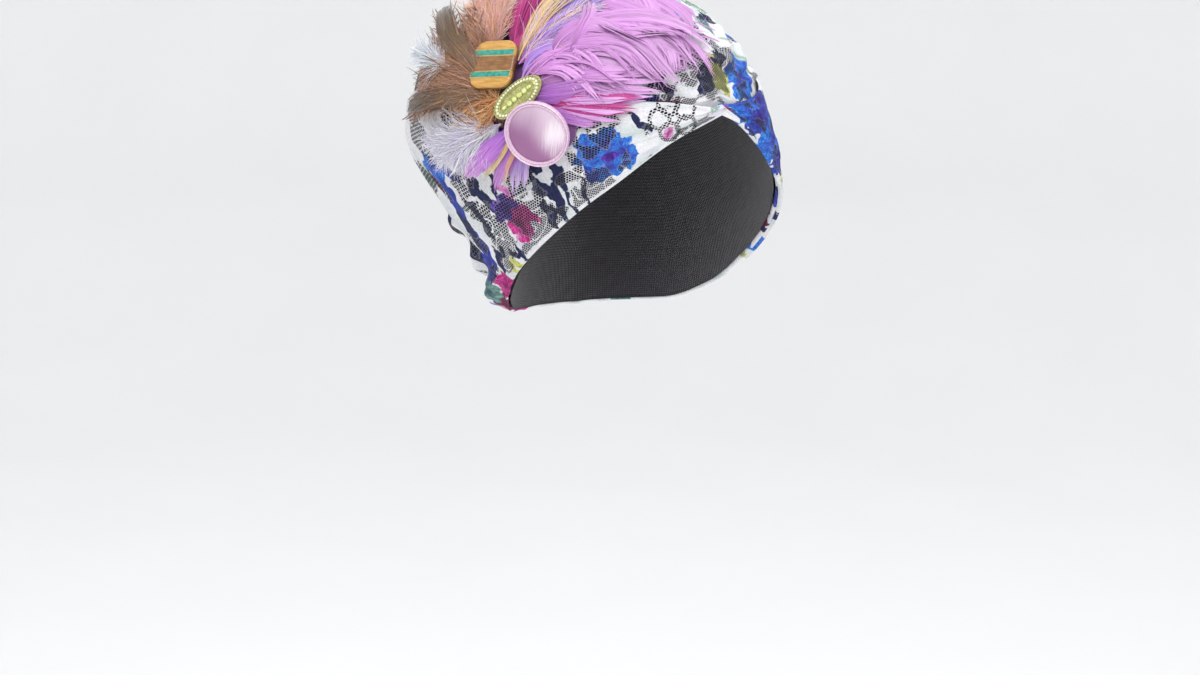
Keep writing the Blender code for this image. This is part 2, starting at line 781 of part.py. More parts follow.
def add_stone(shape, x, y, turn, half_x, half_y, low, high, corners):
    """A cut stone with a table. Its girdle and its table have the same number of corners, half a step
    apart, so that the facets between them are triangles."""
    rings = []
    for height, scale, shift in ((low, 1.0, 0.0), (high, 0.68, 0.5)):
        ring = []
        for i in range(corners):
            a = 2 * math.pi * (i + 0.5 + shift) / corners
            px, py = half_x * scale * math.cos(a), half_y * scale * math.sin(a)
            across = x + px * math.cos(turn) - py * math.sin(turn)
            along = y + px * math.sin(turn) + py * math.cos(turn)
            ring.append(shape.verts.new((across, along, height)))
        rings.append(ring)
    lower, upper = rings
    shape.faces.new(lower[::-1])
    shape.faces.new(upper)
    for i in range(corners):
        j = (i + 1) % corners
        shape.faces.new((lower[i], lower[j], upper[i]))
        shape.faces.new((upper[i], lower[j], upper[j]))


def stones_object(name, stones, finish, frame):
    shape = bmesh.new()
    for stone in stones:
        add_stone(shape, *stone)
    mesh = bpy.data.meshes.new(name)
    shape.to_mesh(mesh)
    shape.free()
    mesh.materials.append(finish)
    made = bpy.data.objects.new(name, mesh)
    bpy.context.scene.collection.objects.link(made)
    made.matrix_world = frame
    return made


def oval_button(setting_finish, stone_finish):
    """The oval button: a stepped setting with a border of small stones, and a row of baguettes."""
    frame = button_frame(OVAL_PLACE)
    setting = extruded(
        "oval_setting", ellipse(OVAL_LENGTH, OVAL_WIDTH, 40), 0.0, OVAL_THICKNESS, setting_finish, frame
    )
    bevel = setting.modifiers.new("Rounded edges", "BEVEL")
    bevel.width = 0.0008
    bevel.segments = 1
    bevel.limit_method = "ANGLE"
    bevel.angle_limit = math.radians(50)
    channel_length, channel_width = OVAL_LENGTH * 0.72, OVAL_WIDTH * 0.34
    channel = extruded(
        "oval_channel", ellipse(channel_length, channel_width, 28), OVAL_THICKNESS * 0.55,
        2 * OVAL_THICKNESS, setting_finish, frame, hidden=True,
    )
    boolean(setting, channel, "DIFFERENCE")
    inside = OVAL_THICKNESS * 0.4
    profile = [(0.0, inside)] + shank_profile(OVAL_PLACE, inside)
    post = turned_solid("oval_post", profile, 12, setting_finish, frame)
    post.hide_render = True
    post.display_type = "WIRE"
    boolean(setting, post, "UNION")
    border = []
    low = OVAL_THICKNESS - 0.0005
    ring_length, ring_width = OVAL_LENGTH * 0.86, OVAL_WIDTH * 0.70
    for x, y in even_ellipse(ring_length, ring_width, BORDER_STONES):
        turn = math.atan2(y * ring_length**2, x * ring_width**2)
        border.append(
            (x, y, turn, BORDER_STONE_RADIUS, BORDER_STONE_RADIUS, low, low + BORDER_STONE_HEIGHT, 4)
        )
    stones = stones_object("oval_border_stones", border, setting_finish, frame)
    stones.hide_render = True
    stones.display_type = "WIRE"
    boolean(setting, stones, "UNION")
    seat = OVAL_THICKNESS * 0.55 + CLEARANCE
    pitch = channel_length * 0.90 / BAGUETTE_COUNT
    for i in range(BAGUETTE_COUNT):
        x = (i - (BAGUETTE_COUNT - 1) / 2) * pitch
        room = channel_width / 2 * math.sqrt(max(1 - ((abs(x) + pitch / 2) / (channel_length / 2)) ** 2, 0.05))
        half_y = min(BAGUETTE_WIDTH / 2, room - CLEARANCE)
        half_x = min(BAGUETTE_LENGTH / 2, pitch / 2 - CLEARANCE)
        stone = (x, 0.0, 0.0, half_x * 1.1, half_y * 1.1, seat, seat + BAGUETTE_HEIGHT, 8)
        stones_object(f"baguette_stone_{i + 1}", [stone], stone_finish, frame)


def even_ellipse(length, width, count):
    """Points spaced evenly along an ellipse."""
    fine = np.linspace(0, 2 * math.pi, 721)
    x, y = length / 2 * np.cos(fine), width / 2 * np.sin(fine)
    run = np.concatenate([[0], np.cumsum(np.hypot(np.diff(x), np.diff(y)))])
    at = np.interp(np.arange(count) * run[-1] / count, run, fine)
    return [(length / 2 * math.cos(a), width / 2 * math.sin(a)) for a in at]


def build():
    for old in list(bpy.data.objects):
        bpy.data.objects.remove(old)
    lace = material("printed_lace", (0.86, 0.85, 0.90), 0.75)
    lining = material("dark_lining", (0.03, 0.03, 0.04), 0.85)
    felt = material("corsage_felt", (0.05, 0.04, 0.05), 0.9)
    hood("lining", lining_surface, LINING_COLUMNS, LINING_ROWS, LINING_WALL, lining)
    hood("crown", crown_surface, CROWN_COLUMNS, CROWN_ROWS, CROWN_WALL, lace)
    wrap("left_wrap", 1, lace, over=False)
    wrap("right_wrap", -1, lace, over=True)
    corsage_pad(felt)
    for name, (colour, right, up, base, blades) in FEATHERS.items():
        feather_bunch(name, colour, right, up, base, blades)
    square_button(material("amber_tile", (0.62, 0.33, 0.08), 0.35), material("teal_inlay", (0.05, 0.42, 0.36), 0.3))
    oval_button(material("pale_gold", (0.80, 0.80, 0.42), 0.3, 0.8), material("lime_stone", (0.78, 0.86, 0.30), 0.1))
    round_button(material("pink_rim", (0.82, 0.62, 0.78), 0.3), material("pink_pearl", (0.72, 0.48, 0.66), 0.25))


build()
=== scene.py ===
"""The looks of a crossed-front turban beanie of printed stretch lace with a corsage of feathers and buttons.

Lengths are in metres. Angles round the head start at the front and grow towards the wearer's left.
Levels run from 0 on the rim to 1 at the top of the crown.
"""

import math

import bpy
import numpy as np
from mathutils import Matrix, Vector


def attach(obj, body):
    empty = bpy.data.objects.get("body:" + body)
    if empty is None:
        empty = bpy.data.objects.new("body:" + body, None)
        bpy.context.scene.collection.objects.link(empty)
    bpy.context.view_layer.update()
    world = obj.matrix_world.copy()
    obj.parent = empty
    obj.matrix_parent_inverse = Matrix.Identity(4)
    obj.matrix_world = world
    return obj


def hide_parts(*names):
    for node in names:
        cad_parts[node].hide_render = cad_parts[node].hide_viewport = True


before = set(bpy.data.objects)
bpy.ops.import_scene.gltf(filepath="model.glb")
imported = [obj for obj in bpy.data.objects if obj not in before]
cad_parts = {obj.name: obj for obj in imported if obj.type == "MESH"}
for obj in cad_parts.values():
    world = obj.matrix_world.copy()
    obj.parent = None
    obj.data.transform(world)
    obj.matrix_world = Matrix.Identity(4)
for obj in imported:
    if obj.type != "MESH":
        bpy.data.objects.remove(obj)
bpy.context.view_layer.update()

# Camera: its turn from the front towards the wearer's right, its rise, its distance and its lens in mm,
# and where the origin falls in an image of this size
VIEW_TURN = 28.0
VIEW_RISE = 8.0
VIEW_DISTANCE = 1.5
VIEW_LENS = 67.5
SENSOR = 36.0
IMAGE = (1200, 675)
ORIGIN_AT = (640, 215)

# Height of the floor under the origin
FLOOR = -0.95

# The hat's form, as in the solids
HEAD_WIDTH = 0.168
HEAD_DEPTH = 0.196
FRONT_RISE = 0.080
NAPE_DROP = 0.076
CROWN_TOP = 0.152
LINING_TOP = 0.124
LINING_WALL = 0.0010
CROWN_WALL = 0.0016
WRAP_WALL = 0.0018
SEAM_GAP = 0.0008
WRAP_GAP = 0.0017
HEM_TURN = 0.0020
CROSSING_LIFT = 0.0030
CLEARANCE = 0.0003
PAD_GAP = 0.0006
PAD_LENGTH = 0.078
PAD_THICKNESS = 0.0020
SWAG_HEIGHT = 0.0062
GATHER_HEIGHT = 0.0022
GATHER_COUNT = 14
NAPE_GATHER_HEIGHT = 0.0016
NAPE_GATHER_COUNT = 24
DRAPE_HEIGHT = 0.0026
CORSAGE_ANGLE = -50.0
CORSAGE_LEVEL = 0.54

# The buttons, as in the solids, and the place of each: right and up of the corsage's middle, turn, and
# its height above the pad
SQUARE_WIDTH = 0.030
SQUARE_HEIGHT = 0.0315
SQUARE_THICKNESS = 0.0046
SQUARE_CORNER = 0.0078
STRIPE_WIDTH = 0.0046
STRIPE_OFFSET = 0.0072
OVAL_LENGTH = 0.0385
OVAL_WIDTH = 0.0175
OVAL_THICKNESS = 0.0026
BAGUETTE_COUNT = 6
BAGUETTE_WIDTH = 0.0030
BAGUETTE_HEIGHT = 0.0016
ROUND_DIAMETER = 0.042
ROUND_THICKNESS = 0.0046
ROUND_RIM = 0.0026
DISC_RISE = 0.0030
SHANK_RADIUS = 0.0036
SQUARE_PLACE = (-0.0122, 0.0180, -6.0, 0.0078)
OVAL_PLACE = (0.0010, 0.0012, 28.0, 0.0064)
ROUND_PLACE = (0.0085, -0.0170, 0.0, 0.0106)

# A flat chart of the hat: metres over the cloth per degree and per level
PER_DEGREE = 0.0018
PER_LEVEL = 0.165


def rows(text, mm=()):
    """A table of one row a line, of words and numbers. The places named in mm are lengths in mm."""
    table = []
    for line in text.strip().split("\n"):
        words = enumerate(line.split())
        table.append(tuple(w if w[0].isalpha() else float(w + "e-3" * (i in mm)) for i, w in words))
    return tuple(table)


# Height of the rim round the head: angle from the front, height as a share of FRONT_RISE above the
# origin and of NAPE_DROP below it
RIM = rows("""
0 1
10 .9
25 .7
40 .46
55 .23
75 -.11
95 -.45
115 -.77
138 -.96
180 -1
""")
# Sections from rim to top: level, share of the rim's height kept, height as a share of the top's,
# middle to the left and back, and reach to the left, right, front and back
CROWN_SECTIONS = rows("""
0 1 0 0 0 1 1 1 1
.15 .87 .092 0 .08 .98 1.1 1.09 1.11
.35 .64 .276 0 .27 .94 1.33 1.28 1.23
.55 .4 .5 0 .41 .89 1.57 1.34 1.24
.75 .18 .737 -.03 .44 .79 1.43 1.1 1.05
.9 .06 .921 -.09 .41 .55 .88 .72 .66
1 0 1 -.14 .37 0 0 0 0
""")
LINING_SECTIONS = rows("""
0 1 0 0 0 1 1 1 1
.2 .84 .14 0 .01 .95 .95 .965 .985
.45 .58 .395 0 .04 .89 .89 .9 .92
.7 .3 .7 0 .08 .74 .74 .74 .75
.88 .1 .92 0 .11 .48 .48 .47 .46
1 0 1 0 .12 0 0 0 0
""")
# Swags of the slouch: angle and level of the middle, spread in degrees and in levels, rise per degree
# and height as a share of SWAG_HEIGHT
SWAGS = rows("""
-128 .075 34 .06 .001 1.5
-128 .19 36 .05 .0009 .9
-128 .3 40 .048 .0008 .7
-126 .41 44 .055 .0006 .6
-135 .6 50 .07 .0004 .8
175 .3 40 .06 -.0006 .9
165 .52 46 .07 -.0004 .9
118 .2 34 .05 -.001 .7
112 .42 40 .06 -.0008 .8
60 .72 36 .05 .0006 .6
""")
# Each crossed wrap, and its upper edge: share of the way round it, level
WRAP_TIP_ANGLE = 9.0
WRAP_END_ANGLE = 96.0
WRAP_END_LEAN = 49.0
WRAP_EDGE = rows("""
0 .03
.07 .12
.16 .27
.3 .46
.48 .61
.66 .66
.82 .64
.92 .58
.97 .5
1 .4
""")
# Drapes of a wrap: angle and level as shares of the wrap, spreads as shares, slope, height share
DRAPES = rows("""
.22 .55 .16 .16 .9 1
.4 .3 .18 .12 .5 .7
.62 .7 .2 .14 -.4 .8
.84 .45 .12 .2 -1.2 .9
""")

# Flat cuts of the cloth: width and length, and the area of the cut
CROWN_CUT = (0.60, 0.30)
CROWN_AREA = 0.152
WRAP_CUT = (0.27, 0.13)
WRAP_AREA = 0.023
LINING_CUT = (0.53, 0.20)
LINING_AREA = 0.0715

# Creases of the crown: start and end as angle and level, half width and height in mm
CREASES = rows("""
2 .5 46 .88 5 2.2
6 .46 60 .8 4.5 2
10 .42 74 .72 5 2.2
-4 .56 20 .94 5.5 2
-14 .62 -20 .96 6 1.8
-98 .1 -150 .02 4 1.8
-104 .24 -160 .14 3.6 1.6
-112 .34 -165 .26 4 1.6
150 .06 118 .4 5 1.8
168 .1 140 .46 5 1.8
""", (4, 5))
# Creases of a wrap towards the crossing: start and end as angle towards its own side
# and level, half width and height in mm
WRAP_CREASES = rows("""
-3 .05 34 .4 3.4 1.2
1 .1 26 .46 3 1
4 .03 46 .28 3.6 1
88 .06 60 .24 5 1.2
96 .2 70 .34 5 1.2
""", (4, 5))

# Colours of the print, linear
IVORY = (0.80, 0.79, 0.82)
INKS = {
    "azure": (0.010, 0.125, 0.560),
    "royal": (0.010, 0.032, 0.260),
    "violet": (0.080, 0.020, 0.330),
    "navy": (0.006, 0.011, 0.050),
    "magenta": (0.470, 0.022, 0.200),
    "pink": (0.760, 0.200, 0.480),
    "lime": (0.440, 0.460, 0.110),
    "teal": (0.090, 0.200, 0.180),
    "sage": (0.330, 0.430, 0.370),
    "wine": (0.130, 0.008, 0.040),
}
# Printed motifs: kind, angle, level, half length and half width in mm, turn in degrees, colour
RIGHT_PRINT = rows("""
bloom -34 .175 11 8 65 azure
bloom -43 .265 13 10 60 azure
bloom -40 .145 12 7.5 15 azure
bloom -38.5 .215 9 7.5 0 violet
bloom -37.5 .27 12 10 0 azure
leaf -46 .165 9 4.2 60 royal
leaf -51 .085 14 1.5 62 navy
leaf -55 .235 12 4.6 80 navy
leaf -60 .13 16 3.8 68 navy
leaf -57 .09 13 1.4 78 navy
leaf -62 .215 12 5.2 112 navy
leaf -65 .1 13 4 75 navy
leaf -60 .3 10 4.8 20 navy
leaf -26 .29 10 2.4 -62 navy
bloom -20 .12 4.4 4 0 pink
leaf -75 .31 12 3.2 60 navy
leaf -83 .335 10 5.2 30 navy
leaf -82 .285 11 4.8 100 navy
leaf -81 .235 8 3.6 60 navy
leaf -89 .275 12 4.2 110 navy
leaf -73.5 .262 10 4 95 pink
bloom -77 .15 14 11 60 magenta
leaf -71.5 .16 10 4 110 magenta
bloom -78 .225 13 10 0 violet
bloom -78 .1 8 5.5 0 pink
leaf -90 .205 12 3.4 70 navy
leaf -92 .11 6 2.8 30 navy
leaf -87 .062 6 2.8 100 navy
leaf -84.5 .052 5.5 2.4 60 navy
leaf -84 .014 6 2.6 130 navy
leaf -91 .016 9 3 60 lime
leaf -88 .004 7 2.4 105 lime
leaf -3 .2 7 2 40 sage
leaf -52 .41 12 5 30 navy
bloom -95 .43 15 11 0 azure
leaf -88 .4 13 4.4 120 royal
bloom -60 .5 13 11 40 violet
leaf -97 .33 22 8 80 royal
leaf -101 .25 20 7 76 navy
leaf -101 .16 18 6 70 royal
leaf -96 .1 12 4 60 navy
bloom -106 .42 14 9 0 sage
leaf -101 .4 12 4 100 wine
""")
LEFT_PRINT = rows("""
bloom 13 .33 21 17 50 azure
bloom 24 .4 20 16 10 royal
bloom 32 .18 21 17 70 azure
bloom 47 .24 20 16 30 azure
bloom 20 .235 16 12 0 royal
bloom 40 .11 17 12 20 royal
bloom 38 .37 17 13 60 azure
leaf 5 .2 11 3.2 70 lime
leaf 20 .11 15 3.6 30 royal
bloom 4 .1 5.5 4.6 0 magenta
leaf 61 .265 13 4.2 10 lime
leaf 61 .19 13 3.4 -20 navy
bloom 64 .13 10 7 0 magenta
leaf 66 .4 16 5 80 navy
leaf 78 .3 16 5 110 navy
leaf 86 .18 16 4.4 70 royal
bloom 92 .36 16 13 0 magenta
leaf 100 .2 13 5 30 teal
leaf 72 .05 14 4 35 navy
bloom 88 .05 13 10 20 azure
leaf 48 .06 12 3.4 60 lime
bloom 76 .52 16 13 0 azure
leaf 60 .56 14 4.6 60 navy
leaf 104 .45 14 5 100 lime
""")
CROWN_PRINT = rows("""
leaf 2 .46 17 6 112 lime
leaf -3 .44 15 5.6 66 navy
leaf 3 .56 15 4.6 70 navy
bloom 17 .5 19 15 60 azure
leaf 28 .6 16 4.6 130 sage
leaf 24 .68 15 3.6 100 sage
bloom -112 .4 20 14 80 sage
bloom -104 .33 17 10 70 wine
leaf -106 .26 26 8 74 royal
leaf -112 .21 22 7.5 70 navy
leaf -122 .3 22 8 50 navy
bloom -108 .14 16 11 20 royal
bloom -118 .08 17 12 20 teal
bloom -136 .09 18 13 20 azure
bloom -105 .02 16 10 0 magenta
leaf -122 .012 20 6 0 wine
leaf -140 .02 20 6 10 magenta
bloom -138 .44 20 16 0 sage
bloom -124 .56 18 14 0 azure
""")
# Net grounds: angle, level, half length and half width in mm, turn in degrees
RIGHT_NET = rows("""
-37 .31 7.5 6.5 5
-35 .365 12 8 20
-49 .21 14 5 82
-46 .045 13 9 40
-54 .045 9 5 60
-70 .035 11 6 50
-74 .09 12 7 60
-74.5 .17 12 8 70
-77 .22 12 9 0
-66 .165 9 5 80
-69 .27 10 7 60
-86 .24 9 6 60
-90 .15 13 7 76
-80 .4 15 8 60
-88 .35 12 7 80
-64 .3 10 7 60
-9 .33 5 3 20
-44 .48 14 9 20
""")
LEFT_NET = rows("""
8 .43 12 6 60
38 .33 12 7 40
54 .33 12 8 60
72 .4 15 9 60
84 .26 16 10 80
98 .3 14 9 80
76 .12 14 9 10
""")
CROWN_NET = rows("""
0 .44 15 8 76
-6 .56 15 9 60
10 .6 14 8 60
""")
# Plain grounds, which keep the net off: angle, level, half length and half width in mm, turn
RIGHT_PLAIN = rows("""
-8 .3 15 10 -10
-14 .42 14 9 10
-22 .17 16 8 40
-29 .35 11 8 0
-30 .16 14 6 50
-84 .26 10 5 80
""")
LEFT_PLAIN = ((4, 0.25, 8, 6, 0),)
CROWN_PLAIN = ((22, 0.640, 24, 12, 90), (0, 0.995, 62, 62, 0))
# Motifs near the top of the crown, laid over the scattered ones
TOP_PRINT = rows("""
bloom 165 .985 18 15 30 azure
leaf 78 .985 15 5 20 navy
bloom -12 .99 14 12 0 violet
leaf -90 .98 16 5 70 lime
leaf -140 .985 13 4.4 110 royal
leaf 115 .96 14 5 10 sage
leaf 22 .96 14 4.6 60 teal
bloom 70 .94 13 10 60 magenta
leaf -170 .9 15 5 30 navy
""")
# Openwork flowers: angle and level of the middle, petal count, ring radius and petal radius in mm
OPENWORK = ((-17.0, 0.245, 5, 9.0, 6.0),)


def smooth_curve(places, values, at):
    """Monotone cubic through a column of a table, so that no section overshoots."""
    places = np.asarray(places, float)
    values = np.asarray(values, float)
    at = np.asarray(at, float)
    steps = np.diff(places)
    slopes = np.diff(values) / steps
    tangents = np.concatenate([slopes[:1], np.zeros(len(slopes) - 1), slopes[-1:]])
    for i in range(1, len(slopes)):
        if slopes[i - 1] * slopes[i] > 0:
            near = 2 * steps[i] + steps[i - 1]
            far = steps[i] + 2 * steps[i - 1]
            tangents[i] = (near + far) / (near / slopes[i - 1] + far / slopes[i])
    k = np.clip(np.searchsorted(places, at) - 1, 0, len(steps) - 1)
    s = (at - places[k]) / steps[k]
    return (
        values[k] * (1 + 2 * s) * (1 - s) ** 2
        + tangents[k] * steps[k] * s * (1 - s) ** 2
        + values[k + 1] * s * s * (3 - 2 * s)
        - tangents[k + 1] * steps[k] * s * s * (1 - s)
    )


def read_curve(table, at):
    """The second column of a table at places in its first."""
    first, second = zip(*table)
    return smooth_curve(first, second, at)


def turned(degrees):
    return (degrees + 180.0) % 360.0 - 180.0


def eased(share):
    """A share from 0 to 1 that starts and ends gently."""
    return share * share * (3 - 2 * share)


def bump(distance):
    """A smooth hump, 1 in the middle and 0 from a distance of 1."""
    return np.where(np.abs(distance) < 1, np.cos(np.clip(distance, -1, 1) * math.pi / 2) ** 2, 0.0)


def rim_height(angle):
    share = read_curve(RIM, np.abs(turned(angle)))
    return np.where(share > 0, share * FRONT_RISE, share * NAPE_DROP)


def loft(sections, edge, top, angle, level):
    """Point of a lofted hood, an edge wider than the head, at an angle in degrees and a level."""
    column = list(zip(*sections))
    level = np.clip(level, 0.0, 1.0)

    def plain(index):
        return smooth_curve(column[0], column[index], level)

    def reach(index):
        return np.sqrt(np.maximum(smooth_curve(column[0], np.square(column[index]), level), 0))

    around = np.radians(angle)
    side, ahead = np.sin(around), np.cos(around)
    across = np.where(side > 0, reach(5), reach(6)) * side
    along = np.where(ahead > 0, reach(7), reach(8)) * ahead
    return np.stack(
        [
            (HEAD_WIDTH / 2 + edge) * (plain(3) + across),
            (HEAD_DEPTH / 2 + edge) * (plain(4) - along),
            plain(1) * rim_height(angle) + plain(2) * top,
        ],
        axis=-1,
    )


def unit(vectors, least=0.0):
    return vectors / np.maximum(np.linalg.norm(vectors, axis=-1, keepdims=True), least)


def normals_of(surface, angle, level):
    """Outward normals of a surface, from small steps along its angle and level."""
    turn, rise = 0.5, 0.004
    low = np.clip(level - rise, 0.0, 1.0)
    high = np.clip(level + rise, 0.0, 0.995)
    round_step = surface(angle + turn, level) - surface(angle - turn, level)
    up_step = surface(angle, high) - surface(angle, low)
    return unit(np.cross(round_step, up_step), 1e-12)


def crown_form(angle, level):
    """The crown's outer surface without its folds."""
    return loft(CROWN_SECTIONS, LINING_WALL + SEAM_GAP + CROWN_WALL, CROWN_TOP, angle, level)


def wrap_reach(level):
    """Degrees from a wrap's tip to its back edge, at a level."""
    return WRAP_TIP_ANGLE + WRAP_END_ANGLE + WRAP_END_LEAN * level


def wrap_edge(share):
    """Level of a wrap's upper edge, a share of the way round it."""
    return read_curve(WRAP_EDGE, np.clip(share, 0, 1))


def under_wraps(angle, level):
    """How fully the wraps cover a place: 1 well inside them, 0 past their edges."""
    share = (np.abs(turned(angle)) + WRAP_TIP_ANGLE) / wrap_reach(level)
    below = np.clip((wrap_edge(share) + 0.06 - level) / 0.04, 0, 1)
    return below * np.clip((1.06 - share) / 0.03, 0, 1)


def crown_folds(angle, level):
    """How far the crown's folds stand out: swags of the slouch, gathers at the top and at the nape."""
    stand = np.zeros(np.broadcast(angle, level).shape)
    for middle, at, spread, tall, rise, share in SWAGS:
        off = turned(angle - middle)
        stand = stand + SWAG_HEIGHT * share * bump(off / spread) * bump((level - at - rise * off) / tall)
    behind = bump(turned(angle - 180.0) / 150.0)
    top = bump((level - 0.80) / 0.18)
    stand = stand + GATHER_HEIGHT * top * behind * np.cos(np.radians(angle) * GATHER_COUNT)
    nape = bump(turned(angle - 180.0) / 62.0) * bump((level - 0.06) / 0.14)
    stand = stand + NAPE_GATHER_HEIGHT * nape * np.cos(np.radians(angle) * NAPE_GATHER_COUNT)
    stand = stand + creases(angle, level, CREASES) + wrinkles(angle, level, 0.0009)
    return stand * (1 - under_wraps(angle, level))


def creases(angle, level, table):
    """Raised folds along straight lines over the flat chart."""
    x, y = turned(angle) * PER_DEGREE, level * PER_LEVEL
    stand = np.zeros(np.broadcast(angle, level).shape)
    for a0, l0, a1, l1, half, height in table:
        start = np.array([a0 * PER_DEGREE, l0 * PER_LEVEL])
        run = np.array([a1 * PER_DEGREE, l1 * PER_LEVEL]) - start
        length = np.linalg.norm(run)
        run = run / length
        along = (x - start[0]) * run[0] + (y - start[1]) * run[1]
        bend = 0.004 * np.sin(along / length * math.pi)
        off = (x - start[0]) * -run[1] + (y - start[1]) * run[0] - bend
        fade = np.clip(along / (0.25 * length), 0, 1) * np.clip((length - along) / (0.35 * length), 0, 1)
        stand = stand + height * fade * (bump(off / half) - 0.45 * bump((off - 1.5 * half) / half))
    return stand


def wrinkles(angle, level, height):
    """Small uneven waves of loose cloth."""
    x, y = np.radians(turned(angle)) * 0.11, level * PER_LEVEL
    wave = np.sin(310 * x + 140 * y + 2.1 * np.sin(95 * y + 60 * x)) * np.sin(170 * y - 90 * x + 1.3)
    wave = wave + 0.6 * np.sin(520 * y + 210 * x + 1.7 * np.sin(130 * x - 70 * y))
    return height * wave * 0.6


def crown_surface(angle, level, lift=0.0):
    """The crown's outer surface with its folds, or a height above it."""
    angle, level = np.broadcast_arrays(np.asarray(angle, float), np.asarray(level, float))
    stand = (crown_folds(angle, level) + lift)[..., None]
    return crown_form(angle, level) + normals_of(crown_form, angle, level) * stand


def crown_chart():
    """The crown's form and normals at every degree and hundredth of a level, for walks over the hat."""
    angle, level = np.meshgrid(np.arange(-180.0, 182.0), np.arange(0.0, 1.0, 0.01), indexing="ij")
    return crown_form(angle, level), normals_of(crown_form, angle, level)


CHART_POINTS, CHART_NORMALS = crown_chart()


def place_on_hat(angle, level, height):
    """One point above the crown's form, and its outward normal, as vectors."""
    x = (angle + 180.0) % 360.0
    y = min(max(level, 0.0), 0.98) * 100
    i, j = int(x), int(y)
    u, v = x - i, y - j

    def between(chart):
        low = chart[i, j] * (1 - u) + chart[i + 1, j] * u
        high = chart[i, j + 1] * (1 - u) + chart[i + 1, j + 1] * u
        return Vector(low * (1 - v) + high * v)

    normal = between(CHART_NORMALS).normalized()
    return between(CHART_POINTS) + normal * height, normal


def tangents_at(angle, level):
    """Unit vectors over the crown towards the wearer's left and towards the top."""
    here, normal = place_on_hat(angle, level, 0)
    across = place_on_hat(angle + 0.5, level, 0)[0] - here
    across = (across - normal * across.dot(normal)).normalized()
    return across, normal.cross(across)


def slide(angle, level, direction, distance):
    """Moves over the crown along a direction, which stays in the crown's surface."""
    turn, rise, parts = 0.5, 0.004, 4
    for _ in range(parts):
        here = place_on_hat(angle, level, 0)[0]
        per_turn = (place_on_hat(angle + turn, level, 0)[0] - here) / turn
        per_rise = (place_on_hat(angle, level + rise, 0)[0] - here) / rise
        step = direction * (distance / parts)
        a, b, c = per_turn.dot(per_turn), per_turn.dot(per_rise), per_rise.dot(per_rise)
        p, q = step.dot(per_turn), step.dot(per_rise)
        whole = a * c - b * b
        angle += (p * c - q * b) / whole
        level = min(max(level + (q * a - p * b) / whole, 0.0), 0.97)
        normal = place_on_hat(angle, level, 0)[1]
        direction = (direction - normal * direction.dot(normal)).normalized()
    return angle, level, direction


def from_middle(right, up):
    """Angle and level of the place right and up of the corsage's middle."""
    across, along = tangents_at(CORSAGE_ANGLE, CORSAGE_LEVEL)
    away = math.hypot(right, up)
    if away == 0:
        return CORSAGE_ANGLE, CORSAGE_LEVEL
    direction = (across * right + along * up) / away
    angle, level, _ = slide(CORSAGE_ANGLE, CORSAGE_LEVEL, direction, away)
    return angle, level


def walk(start, heading, curl, stops):
    """Places along a path over the crown, as (angle, level, direction), at distances from its start.

    The heading is in degrees from the wearer's left towards the top, and the path curls evenly.
    """
    angle, level = start
    across, along = tangents_at(angle, level)
    turn = math.radians(heading)
    direction = across * math.cos(turn) + along * math.sin(turn)
    path, gone = [], 0.0
    for stop in stops:
        normal = place_on_hat(angle, level, 0)[1]
        bend = math.radians(curl) * (stop - gone) / stops[-1]
        direction = Matrix.Rotation(bend, 3, normal) @ direction
        angle, level, direction = slide(angle, level, direction, stop - gone)
        gone = stop
        path.append((angle, level, direction))
    return path


def pad_top():
    return WRAP_GAP + WRAP_WALL + PAD_GAP + PAD_THICKNESS


def mesh_piece(name, points, faces, finish, smooth=True, colours=None, values=None):
    """A mesh object from arrays. Colours and values become attributes of its points."""
    points = np.asarray(points, np.float32)
    mesh = bpy.data.meshes.new(name)
    if isinstance(faces, np.ndarray):
        count, corners = faces.shape
        mesh.vertices.add(len(points))
        mesh.vertices.foreach_set("co", points.ravel())
        mesh.loops.add(count * corners)
        mesh.loops.foreach_set("vertex_index", faces.astype(np.int32).ravel())
        mesh.polygons.add(count)
        mesh.polygons.foreach_set("loop_start", np.arange(count, dtype=np.int32) * corners)
        mesh.update(calc_edges=True)
    else:
        mesh.from_pydata([tuple(p) for p in points], [], faces)
    mesh.validate()
    if smooth:
        mesh.shade_smooth()
    for key, data in (colours or {}).items():
        layer = mesh.attributes.new(key, "FLOAT_COLOR", "POINT")
        full = np.concatenate([np.asarray(data, np.float32), np.ones((len(points), 1), np.float32)], axis=1)
        layer.data.foreach_set("color", full.ravel())
    for key, data in (values or {}).items():
        data = np.asarray(data, np.float32)
        if data.ndim == 1:
            mesh.attributes.new(key, "FLOAT", "POINT").data.foreach_set("value", data)
        else:
            mesh.attributes.new(key, "FLOAT_VECTOR", "POINT").data.foreach_set("vector", data.ravel())
    mesh.materials.append(finish)
    made = bpy.data.objects.new(name, mesh)
    bpy.context.scene.collection.objects.link(made)
    return made


def grid_faces(lines, columns, closed=False, flip=False):
    """Quads of a grid of points stored row by row."""
    across = np.arange(columns if closed else columns - 1)
    i, j = np.meshgrid(np.arange(lines - 1), across, indexing="ij")
    a = i * columns + j
    b = i * columns + (j + 1) % columns
    quads = np.stack([a, b, b + columns, a + columns], axis=-1).reshape(-1, 4)
    return quads[:, ::-1].copy() if flip else quads


